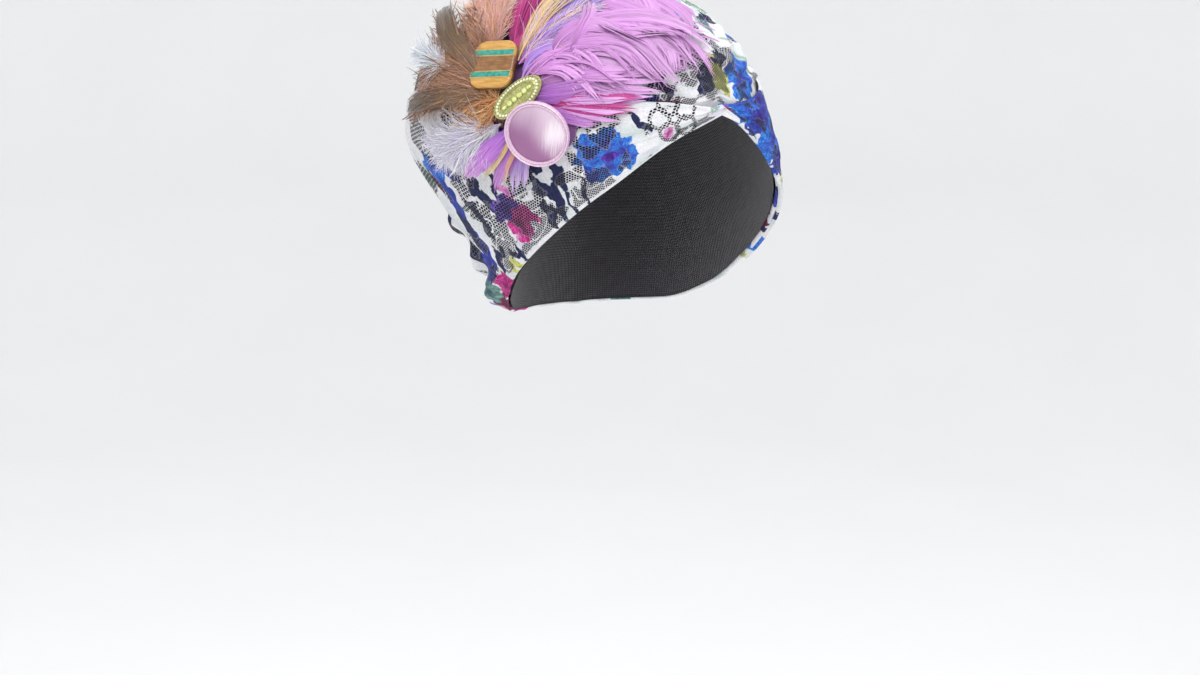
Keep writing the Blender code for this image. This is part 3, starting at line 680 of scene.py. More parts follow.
class Shader:
    """A short way to wire a node material."""

    def __init__(self, name, roughness):
        self.material = bpy.data.materials.new(name)
        self.material.use_nodes = True
        self.nodes = self.material.node_tree.nodes
        self.links = self.material.node_tree.links
        self.surface = self.nodes["Principled BSDF"]
        self.surface.inputs["Roughness"].default_value = roughness

    def put(self, socket, value):
        if hasattr(value, "is_output"):
            self.links.new(value, socket)
        elif value is not None:
            socket.default_value = value

    def set(self, name, value):
        self.put(self.surface.inputs[name], value)

    def attribute(self, name, output="Fac"):
        node = self.nodes.new("ShaderNodeAttribute")
        node.attribute_name = name
        return node.outputs[output]

    def math(self, operation, a, b=None):
        node = self.nodes.new("ShaderNodeMath")
        node.operation = operation
        for socket, value in zip(node.inputs, (a, b)):
            self.put(socket, value)
        return node.outputs[0]

    def times(self, a, b):
        return self.math("MULTIPLY", a, b)

    def plus(self, a, b):
        return self.math("ADD", a, b)

    def minus(self, a, b):
        return self.math("SUBTRACT", a, b)

    def vector(self, operation, a, b=None, output=0):
        node = self.nodes.new("ShaderNodeVectorMath")
        node.operation = operation
        self.put(node.inputs[0], a)
        self.put(node.inputs["Scale"] if operation == "SCALE" else node.inputs[1], b)
        return node.outputs[output]

    def ramp(self, value, low, high, to_low=0.0, to_high=1.0):
        node = self.nodes.new("ShaderNodeMapRange")
        node.interpolation_type = "SMOOTHSTEP"
        for socket, item in zip(node.inputs[:5], (value, low, high, to_low, to_high)):
            self.put(socket, item)
        return node.outputs[0]

    def mix(self, factor, a, b):
        node = self.nodes.new("ShaderNodeMix")
        node.data_type = "RGBA"
        self.put(node.inputs[0], factor)
        self.put(node.inputs[6], a if hasattr(a, "is_output") else (*a, 1.0))
        self.put(node.inputs[7], b if hasattr(b, "is_output") else (*b, 1.0))
        return node.outputs[2]

    def combine(self, value):
        node = self.nodes.new("ShaderNodeCombineXYZ")
        for socket in node.inputs:
            self.put(socket, value)
        return node.outputs[0]

    def noise(self, at, scale, detail=2.0):
        node = self.nodes.new("ShaderNodeTexNoise")
        self.put(node.inputs["Vector"], at)
        node.inputs["Scale"].default_value = scale
        node.inputs["Detail"].default_value = detail
        return node.outputs["Fac"]

    def bump(self, height, distance, strength):
        node = self.nodes.new("ShaderNodeBump")
        node.inputs["Strength"].default_value = strength
        node.inputs["Distance"].default_value = distance
        self.put(node.inputs["Height"], height)
        self.put(self.surface.inputs["Normal"], node.outputs[0])


def hex_distance(shader, at, pitch):
    """Distance to the nearest point of a honeycomb lattice, as a share of its pitch."""
    found = None
    for shift in ((0.0, 0.0, 0.0), (0.5, 0.5, 0.0)):
        scaled = shader.vector("MULTIPLY", at, (1 / pitch, 1 / (pitch * math.sqrt(3)), 0.0))
        cell = shader.vector("FRACTION", shader.vector("ADD", scaled, shift))
        local = shader.vector("SUBTRACT", cell, (0.5, 0.5, 0.0))
        local = shader.vector("MULTIPLY", local, (1.0, math.sqrt(3), 0.0))
        length = shader.vector("LENGTH", local, output=1)
        found = length if found is None else shader.math("MINIMUM", found, length)
    return found


def lace_finish(name):
    """Stretch lace: solid grounds, net grounds with dark holes, openwork, cord outlines and a print."""
    s = Shader(name, 0.72)
    cloth = s.attribute("cloth", "Vector")
    wobble = s.minus(s.noise(cloth, 330.0, 3.0), 0.5)
    fine = s.minus(s.noise(cloth, 1300.0, 2.0), 0.5)
    broad = s.noise(cloth, 48.0, 1.0)
    drift = s.times(s.minus(broad, 0.555), 0.05)
    drift = s.math("MINIMUM", drift, s.times(s.attribute("plain"), -1.0))
    net_edge = s.math("MAXIMUM", s.attribute("net"), drift)
    net_edge = s.math("MINIMUM", net_edge, s.minus(s.attribute("border"), 0.0042))
    net_edge = s.plus(net_edge, s.times(wobble, 0.0045))
    net = s.ramp(net_edge, -0.0003, 0.0003)
    open_edge = s.plus(s.attribute("openwork"), s.times(wobble, 0.001))
    openwork = s.ramp(open_edge, -0.0002, 0.0002)
    hole = s.ramp(hex_distance(s, cloth, 0.0020), 0.45, 0.36)
    large = s.plus(hex_distance(s, cloth, 0.0027), s.times(fine, 0.25))
    gap = s.ramp(large, 0.44, 0.34)
    scroll = s.math("ABSOLUTE", s.minus(s.noise(cloth, 72.0, 0.0), 0.5))
    scroll = s.ramp(scroll, 0.020, 0.010)
    ink = s.ramp(s.plus(s.attribute("ink"), s.times(wobble, 0.0018)), -0.0003, 0.0003)
    scroll = s.times(scroll, s.minus(net, s.times(ink, 0.9)))
    dark = s.times(s.times(hole, net), s.minus(1.0, scroll))
    dark = s.math("MAXIMUM", dark, s.times(gap, openwork))
    petal = s.attribute("petal", "Vector")
    away = s.vector("LENGTH", petal, output=1)
    ray = s.vector("SCALE", s.vector("NORMALIZE", petal), 2.6)
    spin = s.vector("ADD", ray, s.vector("SCALE", petal, 0.9))
    streak = s.noise(s.vector("ADD", spin, s.vector("SCALE", cloth, 55.0)), 2.6, 3.0)
    flecks = s.ramp(streak, 0.38, 0.64)
    inked = s.mix(flecks, s.attribute("ink_colour", "Color"), s.attribute("ink_light", "Color"))
    vein = s.math("ABSOLUTE", s.minus(s.noise(s.vector("SCALE", spin, 1.4), 2.0, 2.0), 0.5))
    inked = s.mix(s.ramp(vein, 0.0, 0.045, 0.75, 0.0), inked, s.mix(0.75, inked, (0.004, 0.006, 0.035)))
    core = s.ramp(away, 0.10, 0.42, 0.6, 0.0)
    inked = s.mix(core, inked, s.mix(0.7, inked, (0.035, 0.006, 0.10)))
    ground = s.mix(s.ramp(s.noise(cloth, 38.0, 2.0), 0.40, 0.72), IVORY, (0.60, 0.66, 0.66))
    blush = s.ramp(s.noise(s.vector("ADD", cloth, (0.4, 0.2, 0.0)), 30.0, 2.0), 0.55, 0.75, 0.0, 0.5)
    ground = s.mix(blush, ground, (0.62, 0.56, 0.74))
    thread = s.mix(ink, ground, inked)
    net_thread = s.mix(0.10, thread, (0.55, 0.55, 0.66))
    thread = s.mix(net, thread, net_thread)
    cord = s.ramp(s.math("ABSOLUTE", net_edge), 0.0009, 0.0004)
    cord = s.times(cord, s.minus(1.0, s.times(ink, 0.85)))
    cord = s.math("MAXIMUM", cord, scroll)
    thread = s.mix(s.times(cord, 0.85), thread, (0.86, 0.85, 0.88))
    rub = s.ramp(s.noise(cloth, 700.0, 3.0), 0.30, 0.70, 0.86, 1.06)
    thread = s.vector("MULTIPLY", thread, s.combine(rub))
    s.set("Base Color", s.mix(dark, thread, (0.006, 0.006, 0.011)))
    s.set("Specular IOR Level", 0.25)
    weave = s.noise(s.vector("MULTIPLY", cloth, (2600.0, 1100.0, 1.0)), 1.0, 2.0)
    height = s.plus(s.times(weave, 0.35), s.times(cord, 0.9))
    height = s.plus(height, s.times(s.minus(1.0, net), 0.35))
    height = s.plus(height, s.times(streak, s.times(ink, 0.5)))
    s.bump(s.minus(height, s.times(dark, 0.8)), 0.0007, 0.8)
    return s.material


def knit_finish(name, colour, pitch):
    """Fine jersey knit: rows of small stitches on the attribute cloth, with painted shade in the hollows
    between stitches, painted light on their tops and a random mottle.
    """
    s = Shader(name, 0.9)
    cloth = s.attribute("cloth", "Vector")
    row = s.vector("MULTIPLY", cloth, (2 * math.pi / pitch, 2 * math.pi / pitch, 0.0))
    split = s.nodes.new("ShaderNodeSeparateXYZ")
    s.links.new(row, split.inputs[0])
    wale = s.math("SINE", split.outputs[0])
    course = s.math("SINE", s.plus(split.outputs[1], s.times(s.math("ABSOLUTE", wale), 1.6)))
    stitch = s.times(s.plus(wale, 1.0), s.plus(s.times(course, 0.4), 0.6))
    # Painted shade and light: darker in the stitches' hollows, lighter on their tops, with a random mottle
    tone = s.ramp(s.plus(stitch, s.noise(cloth, 900.0, 2.0)), 0.2, 2.2)
    s.set("Base Color", s.mix(tone, tuple(c * 0.55 for c in colour), tuple(c * 1.7 for c in colour)))
    s.set("Sheen Weight", 0.4)
    s.bump(stitch, 0.0005, 0.8)
    return s.material


def warp(u, v, phase):
    """Uneven hand-drawn outlines: coordinates moved by a few small waves."""
    du = 0.0012 * np.sin(520 * v + phase) + 0.0006 * np.sin(1150 * u + 1.7 * phase)
    dv = 0.0012 * np.sin(480 * u + 2.1 * phase) + 0.0006 * np.sin(1240 * v + 0.6 * phase)
    return u + du, v + dv


def motif_field(points, motifs, nets, plains, openwork):
    """Attributes of the lace at each point: edge distances in metres, print colours and petal places."""
    count = len(points)
    ink = np.full(count, -0.02)
    colour = np.tile(np.array(INKS["navy"]), (count, 1))
    light = np.tile(np.array(INKS["royal"]), (count, 1))
    petal = np.zeros((count, 3))
    for kind, a, l, long, wide, turn, name in motifs:
        long_m, wide_m = long / 1000, wide / 1000
        some, u, v = local_chart(points, a, l, turn, long_m * 1.5)
        u, v = warp(u, v, a + 31 * l)
        x, y = u / long_m, v / wide_m
        radius, round_ = np.hypot(x, y), np.arctan2(y, x)
        base = np.array(INKS[name])
        if kind == "bloom":
            petals = 5 if long > 8 else 4
            edge = 0.80 + 0.20 * np.abs(np.cos(round_ * petals / 2 + a)) ** 0.6
            edge = edge + 0.05 * np.sin(round_ * 13 + l * 40)
            core = np.array(INKS["violet"]) if name in ("azure", "royal") else base * 0.4
            shade = np.clip(radius * 1.3 - 0.1 + 0.30 * np.cos(round_ * petals + 2 * a), 0, 1)[:, None]
            low = core * (1 - shade) + base * shade
            high = base * 1.15 * (1 - shade) + np.clip(base * 1.9 + 0.05, 0, 0.85) * shade
        else:
            edge = 1.0 + 0.10 * np.sin(round_ * 11 + a)
            y = y / np.clip(1.15 - x**2, 0.05, 1)
            radius = np.hypot(x, y)
            low = np.tile(base, (len(u), 1))
            high = np.tile(np.clip(base * 1.9 + 0.015, 0, 0.85), (len(u), 1))
        inside = (edge - radius) * min(long_m, wide_m)
        better = inside > ink[some]
        chosen = some[better]
        ink[chosen] = inside[better]
        colour[chosen], light[chosen] = low[better], high[better]
        petal[chosen] = np.stack([x, v / wide_m, np.full(len(x), 0.1)], axis=-1)[better]
    values = {
        "ink": ink,
        "petal": petal,
        "net": patches(points, nets),
        "plain": patches(points, plains),
        "openwork": rings(points, openwork),
    }
    return values, {"ink_colour": colour, "ink_light": light}


def patches(points, table):
    """Distance in from the edge of the nearest of a table's uneven ellipses."""
    inside = np.full(len(points), -0.02)
    for a, l, long, wide, turn in table:
        some, u, v = local_chart(points, a, l, turn, long * 0.0018)
        u, v = warp(u, v, a + 17 * l)
        radius = np.hypot(u / (long / 1000), v / (wide / 1000))
        inside[some] = np.maximum(inside[some], (1 - radius) * wide / 1000)
    return inside


def rings(points, table):
    """Distance in from the edge of the lines of openwork flowers."""
    inside = np.full(len(points), -0.02)
    for a, l, petals, ring, petal in table:
        some, u, v = local_chart(points, a, l, 0, 0.03)
        for k in range(petals):
            turn = 2 * math.pi * k / petals + 0.3
            away = np.hypot(u - ring / 1000 * math.cos(turn), v - ring / 1000 * math.sin(turn))
            inside[some] = np.maximum(inside[some], 0.0011 - np.abs(away - petal / 1000))
    return inside


def local_chart(points, angle, level, turn, reach):
    """The points near a place, and their coordinates on the plane that touches the hat there."""
    middle, normal = place_on_hat(angle, level, 0.003)
    across, along = tangents_at(angle, level)
    bend = math.radians(turn)
    first = across * math.cos(bend) + along * math.sin(bend)
    second = normal.cross(first)
    off = points - np.array(middle)
    some = np.nonzero(np.sum(off * off, axis=1) < reach * reach + 0.0002)[0]
    off = off[some]
    return some, off @ np.array(first), off @ np.array(second)


def scattered(seed, spots, spacing, taken, allowed):
    """Sprays of a bloom and its leaves over the cloth, clear of the charted motifs."""
    rng = np.random.default_rng(seed)
    placed = [place_on_hat(a, l, 0)[0] for _, a, l, *_ in taken]
    made = []
    for _ in range(spots * 20):
        if len(made) >= spots:
            break
        a, l = rng.uniform(-180, 180), 1 - rng.uniform(0.02, 1.0) ** 0.8
        middle = place_on_hat(a, l, 0)[0]
        if not allowed(a, l) or any((middle - other).length < spacing for other in placed):
            continue
        placed.append(middle)
        name = rng.choice(["azure", "royal", "magenta", "sage", "violet", "azure", "teal", "wine"])
        size = rng.uniform(12, 18)
        made.append(("bloom", a, l, size, size * rng.uniform(0.72, 0.9), rng.uniform(0, 180), name))
        for _ in range(4):
            heading = rng.uniform(0, 360)
            b, m, _ = walk((a, l), heading, 0, [0.001 * (size + 5)])[0]
            leaf = rng.choice(["navy", "lime", "navy", "teal", "royal", "sage"])
            long = rng.uniform(8, 14)
            made.append(("leaf", b, m, long, long * 0.34, heading + rng.uniform(-40, 40), leaf))
    return tuple(made)


def cloth_place(angle, level):
    """Position on the cloth, for its weave, in metres."""
    radius = 0.118 * np.sqrt(np.clip(1.02 - np.clip(level, 0, 1) ** 2.6, 0.02, 1))
    return np.stack([np.radians(angle) * radius, level * 0.175, np.zeros_like(level)], axis=-1)


def top_levels(start, count):
    """Levels that close in on the top, where the crown is a dome."""
    return 1 - (1 - start) * (1 - np.linspace(0, 0.998, count + 1)[1:]) ** 2


def crown_piece(finish):
    """The crown's lace, open at the back seam, with its rim turned in."""
    angles = np.linspace(-180, 180, 431)
    levels = np.concatenate([np.linspace(0, 0.9, 150), top_levels(0.9, 30)])
    a, l = np.meshgrid(angles, levels, indexing="xy")
    seam = -0.0007 * bump((180 - np.abs(a)) / 1.6) * np.clip((0.97 - l) / 0.05, 0, 1)
    points = crown_surface(a, l, seam).reshape(-1, 3)
    rim = crown_surface(a[0], l[0], -CROWN_WALL) + np.array([0, 0, 0.0004])
    low = np.full(len(angles), 0.04)
    inner = crown_form(angles, low) - normals_of(crown_form, angles, low) * CROWN_WALL
    everything = np.concatenate([inner, rim, points])
    a_all = np.concatenate([angles, angles, a.ravel()])
    l_all = np.concatenate([low, l[0], l.ravel()])
    motifs = CROWN_PRINT + scattered(5, 420, 0.036, CROWN_PRINT, lambda x, y: y > 0.03) + TOP_PRINT
    values, colours = motif_field(everything, motifs, CROWN_NET, CROWN_PLAIN, ())
    values["cloth"] = cloth_place(a_all, l_all)
    values["border"] = l_all * 0.17
    faces = grid_faces(len(levels) + 2, len(angles))
    return mesh_piece("crown_lace", everything, faces, finish, colours=colours, values=values)


def lining_surface(angle, level):
    """The lining's outer surface. Its rim stays a hem's turn above the crown's."""
    point = loft(LINING_SECTIONS, LINING_WALL, LINING_TOP, angle, level)
    point[..., 2] += HEM_TURN * (1 - np.clip(level, 0, 1))
    return point


def rounded(distance, radius):
    """Height of a rolled edge as a share, at a distance in from it."""
    inside = 1 - np.clip(distance / radius, 0, 1)
    return np.sqrt(1 - inside * inside)


def edge_spacing(count, length, fine=0.0022):
    """Places from 0 to 1 with a few close rows at both ends for a rolled edge."""
    end = np.array([0.0, 0.06, 0.2, 0.45, 0.75, 1.0]) * fine / length
    middle = np.linspace(end[-1], 1 - end[-1], count)
    return np.concatenate([end[:-1], middle, 1 - end[:-1][::-1]])


def loose_cloth(points):
    """How freely a wrap drapes: 0 where the corsage pins it flat, 1 away from it."""
    middle = np.array(place_on_hat(CORSAGE_ANGLE, CORSAGE_LEVEL, 0)[0])
    near = np.clip(np.linalg.norm(points - middle, axis=-1) / (PAD_LENGTH / 2) - 1.0, 0, 1)
    return eased(near)


def wrap_piece(name, side, finish, over, dip, print_table):
    """One crossed wrap: a sheet with rolled edges, its hem turned in, and its drapes."""
    motifs, nets, plains, openwork = print_table
    shares = edge_spacing(250, 0.24)
    parts = edge_spacing(100, 0.10)
    s, p = np.meshgrid(shares, parts, indexing="xy")
    levels = wrap_edge(s) * p
    angles = side * (s * wrap_reach(levels) - WRAP_TIP_ANGLE)
    base = crown_form(angles, levels)
    normals = normals_of(crown_form, angles, levels)
    tall = wrap_edge(s) * PER_LEVEL + 0.002
    inset = np.minimum(np.minimum(p, 1 - p) * tall, np.minimum(s, 1 - s) * 0.24)
    loose = loose_cloth(base)
    stand = np.zeros_like(s)
    for middle, at, wide, deep, slope, share in DRAPES:
        off = s - middle
        stand += DRAPE_HEIGHT * share * bump(off / wide) * bump((p - at - slope * off) / (2 * deep)) * loose
    away = np.clip(inset / 0.006, 0, 1)
    stand += creases(side * angles, levels, WRAP_CREASES) * away
    stand += (0.4 + 0.6 * loose) * wrinkles(angles, levels, 0.00045) * away
    if over:
        stand += CROSSING_LIFT * eased(np.clip((0.30 - s) / 0.14, 0, 1))
    height = WRAP_GAP + WRAP_WALL * rounded(inset, 0.0016) + stand
    points = base + normals * height[..., None]
    lowered = HEM_TURN + dip * bump((side * angles - 34) / 34)
    points[..., 2] -= lowered * (1 - p) ** 4
    hem = points[0] - normals[0] * (WRAP_GAP * 0.6 + WRAP_WALL * 0.5) + np.array([0, 0, 0.003])
    everything = np.concatenate([hem, points.reshape(-1, 3)])
    a_all = np.concatenate([angles[0], angles.ravel()])
    l_all = np.concatenate([levels[0], levels.ravel()])
    values, colours = motif_field(everything, motifs, nets, plains, openwork)
    values["border"] = np.concatenate([np.zeros(len(shares)), inset.ravel()])
    values["cloth"] = cloth_place(a_all, l_all)
    faces = grid_faces(len(parts) + 1, len(shares), flip=side < 0)
    return mesh_piece(name, everything, faces, finish, colours=colours, values=values)


def lining_piece(finish):
    """The lining: a smooth shell inside the crown, with a rolled rim."""
    angles = np.linspace(-180, 180, 181)
    levels = np.concatenate([[0.03, 0.0], np.linspace(0, 0.85, 60), top_levels(0.85, 20)])
    a, l = np.meshgrid(angles, levels, indexing="xy")
    depth = np.where(np.arange(len(levels)) == 0, 0.0, LINING_WALL)[:, None]
    inward = depth + wrinkles(a, l, 0.0003)
    points = lining_surface(a, l) - normals_of(lining_surface, a, l) * inward[..., None]
    values = {"cloth": cloth_place(a.ravel(), l.ravel())}
    faces = grid_faces(len(levels), len(angles), flip=True)
    return mesh_piece("lining_knit", points.reshape(-1, 3), faces, finish, values=values)


def cloth_pieces():
    lace = lace_finish("printed_lace")
    right_print = (RIGHT_PRINT, RIGHT_NET, RIGHT_PLAIN, OPENWORK)
    left_print = (LEFT_PRINT, LEFT_NET, LEFT_PLAIN, ())
    knit = knit_finish("dark_lining_knit", (0.022, 0.019, 0.026), 0.0018)
    crown = crown_piece(lace)
    right = wrap_piece("right_wrap_lace", -1, lace, True, 0.0, right_print)
    left = wrap_piece("left_wrap_lace", 1, lace, False, 0.007, left_print)
    lining = lining_piece(knit)
    for made, node, slot, flat, area, held, rests_on in (
        (crown, "crown", "crown_lace", CROWN_CUT, CROWN_AREA, "gathered", [lining]),
        (right, "right_wrap", "wrap_lace", WRAP_CUT, WRAP_AREA, "stretched", [crown, left]),
        (left, "left_wrap", "wrap_lace", WRAP_CUT, WRAP_AREA, "stretched", [crown]),
        (lining, "lining", "dark_lining", LINING_CUT, LINING_AREA, "stretched", []),
    ):
        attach(made, "root")
        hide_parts(node)


class Locks:
    """Patches of barbs gathered into one mesh, with a colour, painted shade included, and a place in the
    lock at every point.
    """

    def __init__(self):
        self.points, self.faces, self.tints, self.strands, self.count = [], [], [], [], 0

    def add(self, points, tints, strands):
        """Adds patches. All three are (patches, steps, columns, 3)."""
        shape = points.shape[:3]
        index = np.arange(math.prod(shape)).reshape(shape) + self.count
        quads = [index[:, :-1, :-1], index[:, :-1, 1:], index[:, 1:, 1:], index[:, 1:, :-1]]
        self.points.append(points.reshape(-1, 3))
        self.faces.append(np.stack(quads, axis=-1).reshape(-1, 4))
        self.tints.append(np.broadcast_to(tints, points.shape).reshape(-1, 3))
        self.strands.append(np.broadcast_to(strands, points.shape).reshape(-1, 3))
        self.count += points.size // 3

    def finish(self, name, finish):
        return mesh_piece(
            name,
            np.concatenate(self.points),
            np.concatenate(self.faces),
            finish,
            colours={"tint": np.clip(np.concatenate(self.tints), 0, 1)},
            values={"strand": np.concatenate(self.strands)},
        )


def feather_finish(name):
    """Satin barbs: the colour attribute with fine streaks along each lock, painted shade in the lines
    between strands and painted highlight along them.
    """
    s = Shader(name, 0.40)
    tint = s.attribute("tint", "Color")
    strand = s.attribute("strand", "Vector")
    streaks = s.noise(s.vector("MULTIPLY", strand, (2600.0, 60.0, 1.0)), 1.0, 2.0)
    # Painted shade: the colour darkens towards plum in the low lines between strands
    dark = s.mix(s.ramp(streaks, 0.32, 0.50, 0.45, 0.0), tint, s.mix(0.75, tint, (0.10, 0.01, 0.12)))
    # Painted highlight: near-white streaks along the strands
    painted_gloss = s.ramp(streaks, 0.55, 0.80, 0.0, 0.35)
    s.set("Base Color", s.mix(painted_gloss, dark, s.mix(0.6, dark, (1.0, 0.97, 1.0))))
    s.set("Sheen Weight", 0.35)
    s.set("Sheen Roughness", 0.35)
    s.set("Specular IOR Level", 0.35)
    s.bump(streaks, 0.0005, 0.55)
    return s.material


def at_share(t, points, share):
    """A column of points or axes read at shares of the way along it."""
    return np.stack([np.interp(share, t, points[:, k]) for k in range(3)], axis=-1)


def quill_rows(start, heading, curl, length, base, arch):
    """Points and axes along a feather's quill: share, point, ahead, across and away from the hat."""
    stops = [length * (i + 1) / 14 for i in range(14)]
    angle, level = start
    at, places = [0.0], [place_on_hat(angle, level, pad_top() + base)]
    for stop, (angle, level, _) in zip(stops, walk(start, heading, curl, stops)):
        share = stop / length
        height = pad_top() + base * (1 - 0.5 * share) + arch * math.sin(math.pi * min(share * 0.92, 1))
        at.append(share)
        places.append(place_on_hat(angle, level, height))
    points, normals = (np.array([axis[:] for axis in column]) for column in zip(*places))
    t = np.linspace(0, 1, 40)
    p, n = at_share(at, points, t), at_share(at, normals, t)
    for _ in range(3):
        p[1:-1] = (p[:-2] + 2 * p[1:-1] + p[2:]) / 4
    ahead = unit(np.gradient(p, axis=0))
    n = unit(n - ahead * np.sum(n * ahead, axis=-1, keepdims=True))
    return t, p, ahead, np.cross(n, ahead), n


def rolled(beside, above, roll):
    """Two axes turned about the third one."""
    return beside * np.cos(roll) + above * np.sin(roll), above * np.cos(roll) - beside * np.sin(roll)


def barb_paths(quill, share, turn, pitch, length, side=1):
    """Middles, directions and side axes of barbs that leave a quill at its shares, turned and raised."""
    t, p, ahead, across, normal = quill
    columns = (at_share(t, column, share)[:, None, :] for column in (p, ahead, across, normal))
    first, forward, sideways, up = columns
    d = forward * (np.cos(turn) * np.cos(pitch))[..., None]
    d = d + sideways * (side * np.sin(turn) * np.cos(pitch))[..., None]
    d = d + up * np.sin(pitch)[..., None]
    run = np.cumsum((d[:, 1:] + d[:, :-1]) / 2 * (length[:, None, None] / (d.shape[1] - 1)), axis=1)
    middle = first + np.concatenate([np.zeros((len(share), 1, 3)), run], axis=1)
    return middle, d, unit(np.cross(up, d), 1e-9)


def shaded(colours, shade):
    """The colour from root by middle to tip at a shade from 0 to 1."""
    root, middle, tip = (np.array(colour) for colour in colours)
    low, high = root + (middle - root) * shade * 2, middle + (tip - middle) * (shade * 2 - 1)
    return np.where(shade < 0.5, low, high)


def add_side(locks, rng, quill, side, half, look, colours):
    """The locks of barbs on one side of a quill.

    look holds the locks a side, the columns and steps of each, their length as a share of the quill's,
    their width in metres, the bend along a lock, the lift and the droop in degrees, and the unevenness.
    """
    number, columns, steps, reach, wide, bend, lift, droop, uneven = look
    span = np.sum(np.linalg.norm(np.diff(quill[1], axis=0), axis=-1))
    q = np.linspace(0, 1, steps)
    share = np.clip(np.linspace(0.02, 0.94, number) + rng.normal(0, 0.3 / number, number), 0.01, 0.97)
    length = span * np.minimum(reach * (1 + rng.normal(0, 0.10 + 0.15 * uneven, number)), 1.06 - share)
    length = np.maximum(length, span * 0.12)
    outline = np.interp(share, [0, 0.15, 0.4, 0.75, 0.92, 1.0], [0.62, 0.88, 1.0, 0.85, 0.5, 0.2])
    lean = np.arcsin(np.clip(half * outline * rng.uniform(0.55, 1.08, number) / length, 0.02, 0.92))
    turn = (lean + rng.normal(0, 0.03 + 0.16 * uneven, number))[:, None]
    turn = turn + np.radians(bend * (1 + rng.normal(0, 0.2 + 0.5 * uneven, number)))[:, None] * (q - 0.5)
    pitch = np.radians(lift + rng.normal(0, 2 + 8 * uneven, number))[:, None]
    pitch = pitch - np.radians(droop * (1 + rng.normal(0, 0.2, number)))[:, None] * q
    centre, d, beside = barb_paths(quill, share, turn, pitch, length, side)
    above = np.cross(d, beside)
    roll = np.radians(side * 12 + rng.normal(0, 6 + 24 * uneven, number))[:, None, None]
    beside, above = rolled(beside, above, roll)
    breadth = (wide * (1 + rng.normal(0, 0.15 + 0.3 * uneven, number)).clip(0.3, 1.9))[:, None]
    profile = np.interp(q, [0, 0.2, 0.5, 0.85, 1.0], [0.45, 0.85, 1.0, 0.74, 0.06])
    w = np.linspace(-1, 1, columns)
    offset = w[None, None, :] * (breadth / 2 * profile)[..., None]
    ridge = np.where(np.arange(columns) % 2, 1.0, -1.0) * 0.00010
    cup = -(w**2)[None, None, :] * (breadth * 0.14 * profile)[..., None]
    fray = np.abs(rng.normal(0, 0.05 + 0.10 * uneven, (number, 1, columns))) * (q**3)[None, :, None]
    points = (
        centre[:, :, None, :]
        + beside[:, :, None, :] * offset[..., None]
        + above[:, :, None, :] * (cup + ridge)[..., None]
        - d[:, :, None, :] * (fray * length[:, None, None])[..., None]
    )
    tint = shaded(colours, np.clip(0.45 * share[:, None] + 0.75 * q[None, :], 0, 1)[..., None])
    mood = 1 + rng.normal(0, 0.08, (number, 1, 1))
    # Painted shade: each lock darker towards its edges
    tint = (tint * mood)[:, :, None, :] * (1 - 0.12 * np.abs(w) ** 3)[None, None, :, None]
    # Painted shade: barbs darker near the quill, deep among the others
    tint = tint * np.interp(q, [0, 0.3, 1], [0.55, 0.92, 1.0])[None, :, None, None]
    strands = np.stack(
        [
            offset + rng.uniform(0, 1, (number, 1, 1)),
            np.broadcast_to((q * length[:, None])[..., None], offset.shape),
            np.broadcast_to(rng.uniform(0, 40, (number, 1, 1)), offset.shape),
        ],
        axis=-1,
    )
    locks.add(points, tint, strands)


def add_vane(locks, rng, quill, half, look, colours):
    """A flat vane: strips of barbs side by side along the quill, torn here and there and combed at the tips.

    look holds the strips, the steps of each, how far the tips comb apart, the tears, the roll in degrees at
    the root and from there to the tip, and how pointed the tip is.
    """
    strips, steps, comb, tears, roll, twist, point = look
    t, p, _, across, normal = quill
    w = (np.arange(strips) + 0.5) / strips * 2 - 1
    q = np.linspace(0, 1, steps)
    start = 0.01 + 0.16 * rng.uniform(0, 1, strips) * np.abs(w)
    end = 1.0 - point * w**2 - np.abs(rng.normal(0, 0.12 * comb, strips))
    share = start[:, None] + (end - start)[:, None] * q
    outline = np.interp(share, [0, 0.10, 0.35, 0.75, 1.0], [0.14, 0.50, 0.92, 1.0, 0.74])
    parting = np.zeros(strips)
    for _ in range(tears):
        parting[rng.integers(1, strips) :] += rng.uniform(0.10, 0.45)
    parting = (parting - parting.mean())[:, None] * q**1.6
    sway = rng.normal(0, 0.16 * comb, (strips, 1)) * q**3
    sway = sway + 0.03 * np.sin(9 * q + rng.uniform(0, 6, (strips, 1)))
    off = half * (w[:, None] * outline + parting + sway)
    tilt = np.radians(rng.normal(0, roll) + rng.normal(0, twist) * share)[..., None]
    over, out = at_share(t, across, share), at_share(t, normal, share)
    over, out = rolled(over, out, tilt)
    height = -0.22 * off**2 / half + rng.normal(0, 0.05, (strips, 1)) * half * q**2
    centre = at_share(t, p, share) + over * off[..., None] + out * height[..., None]
    taper = np.interp(q, [0, 0.84, 1.0], [1.0, 0.92, 0.10])
    breadth = half * 1.75 / strips * outline * taper
    side = np.array([-1.0, 0.0, 1.0])
    points = (
        centre[:, :, None, :]
        + over[:, :, None, :] * (breadth[..., None] * side)[..., None]
        + out[:, :, None, :] * (breadth[..., None] * RIDGE * (1 - np.abs(side)))[..., None]
    )
    tint = shaded(colours, np.clip(0.15 + 0.95 * share, 0, 1)[..., None])
    mood = (1 + rng.normal(0, 0.05)) * (1 + rng.normal(0, 0.05, (strips, 1, 1)))
    # Painted shade: the vane darker near its root, deep in the bunch
    tint = tint * mood * np.interp(share, [0, 0.25, 1], [0.62, 0.95, 1.0])[..., None]
    # Painted shade: each strip darker at its sides than along its middle, for the lines between strips
    tint = tint[:, :, None, :] * np.array([0.90, 1.0, 0.90])[None, None, :, None]
    length = np.linalg.norm(np.diff(p, axis=0), axis=-1).sum()
    strands = np.stack(
        [
            (off[..., None] + breadth[..., None] * side),
            np.broadcast_to((share * length)[..., None], points.shape[:3]),
            np.full(points.shape[:3], rng.uniform(0, 40)),
        ],
        axis=-1,
    )
    locks.add(points, tint, strands)


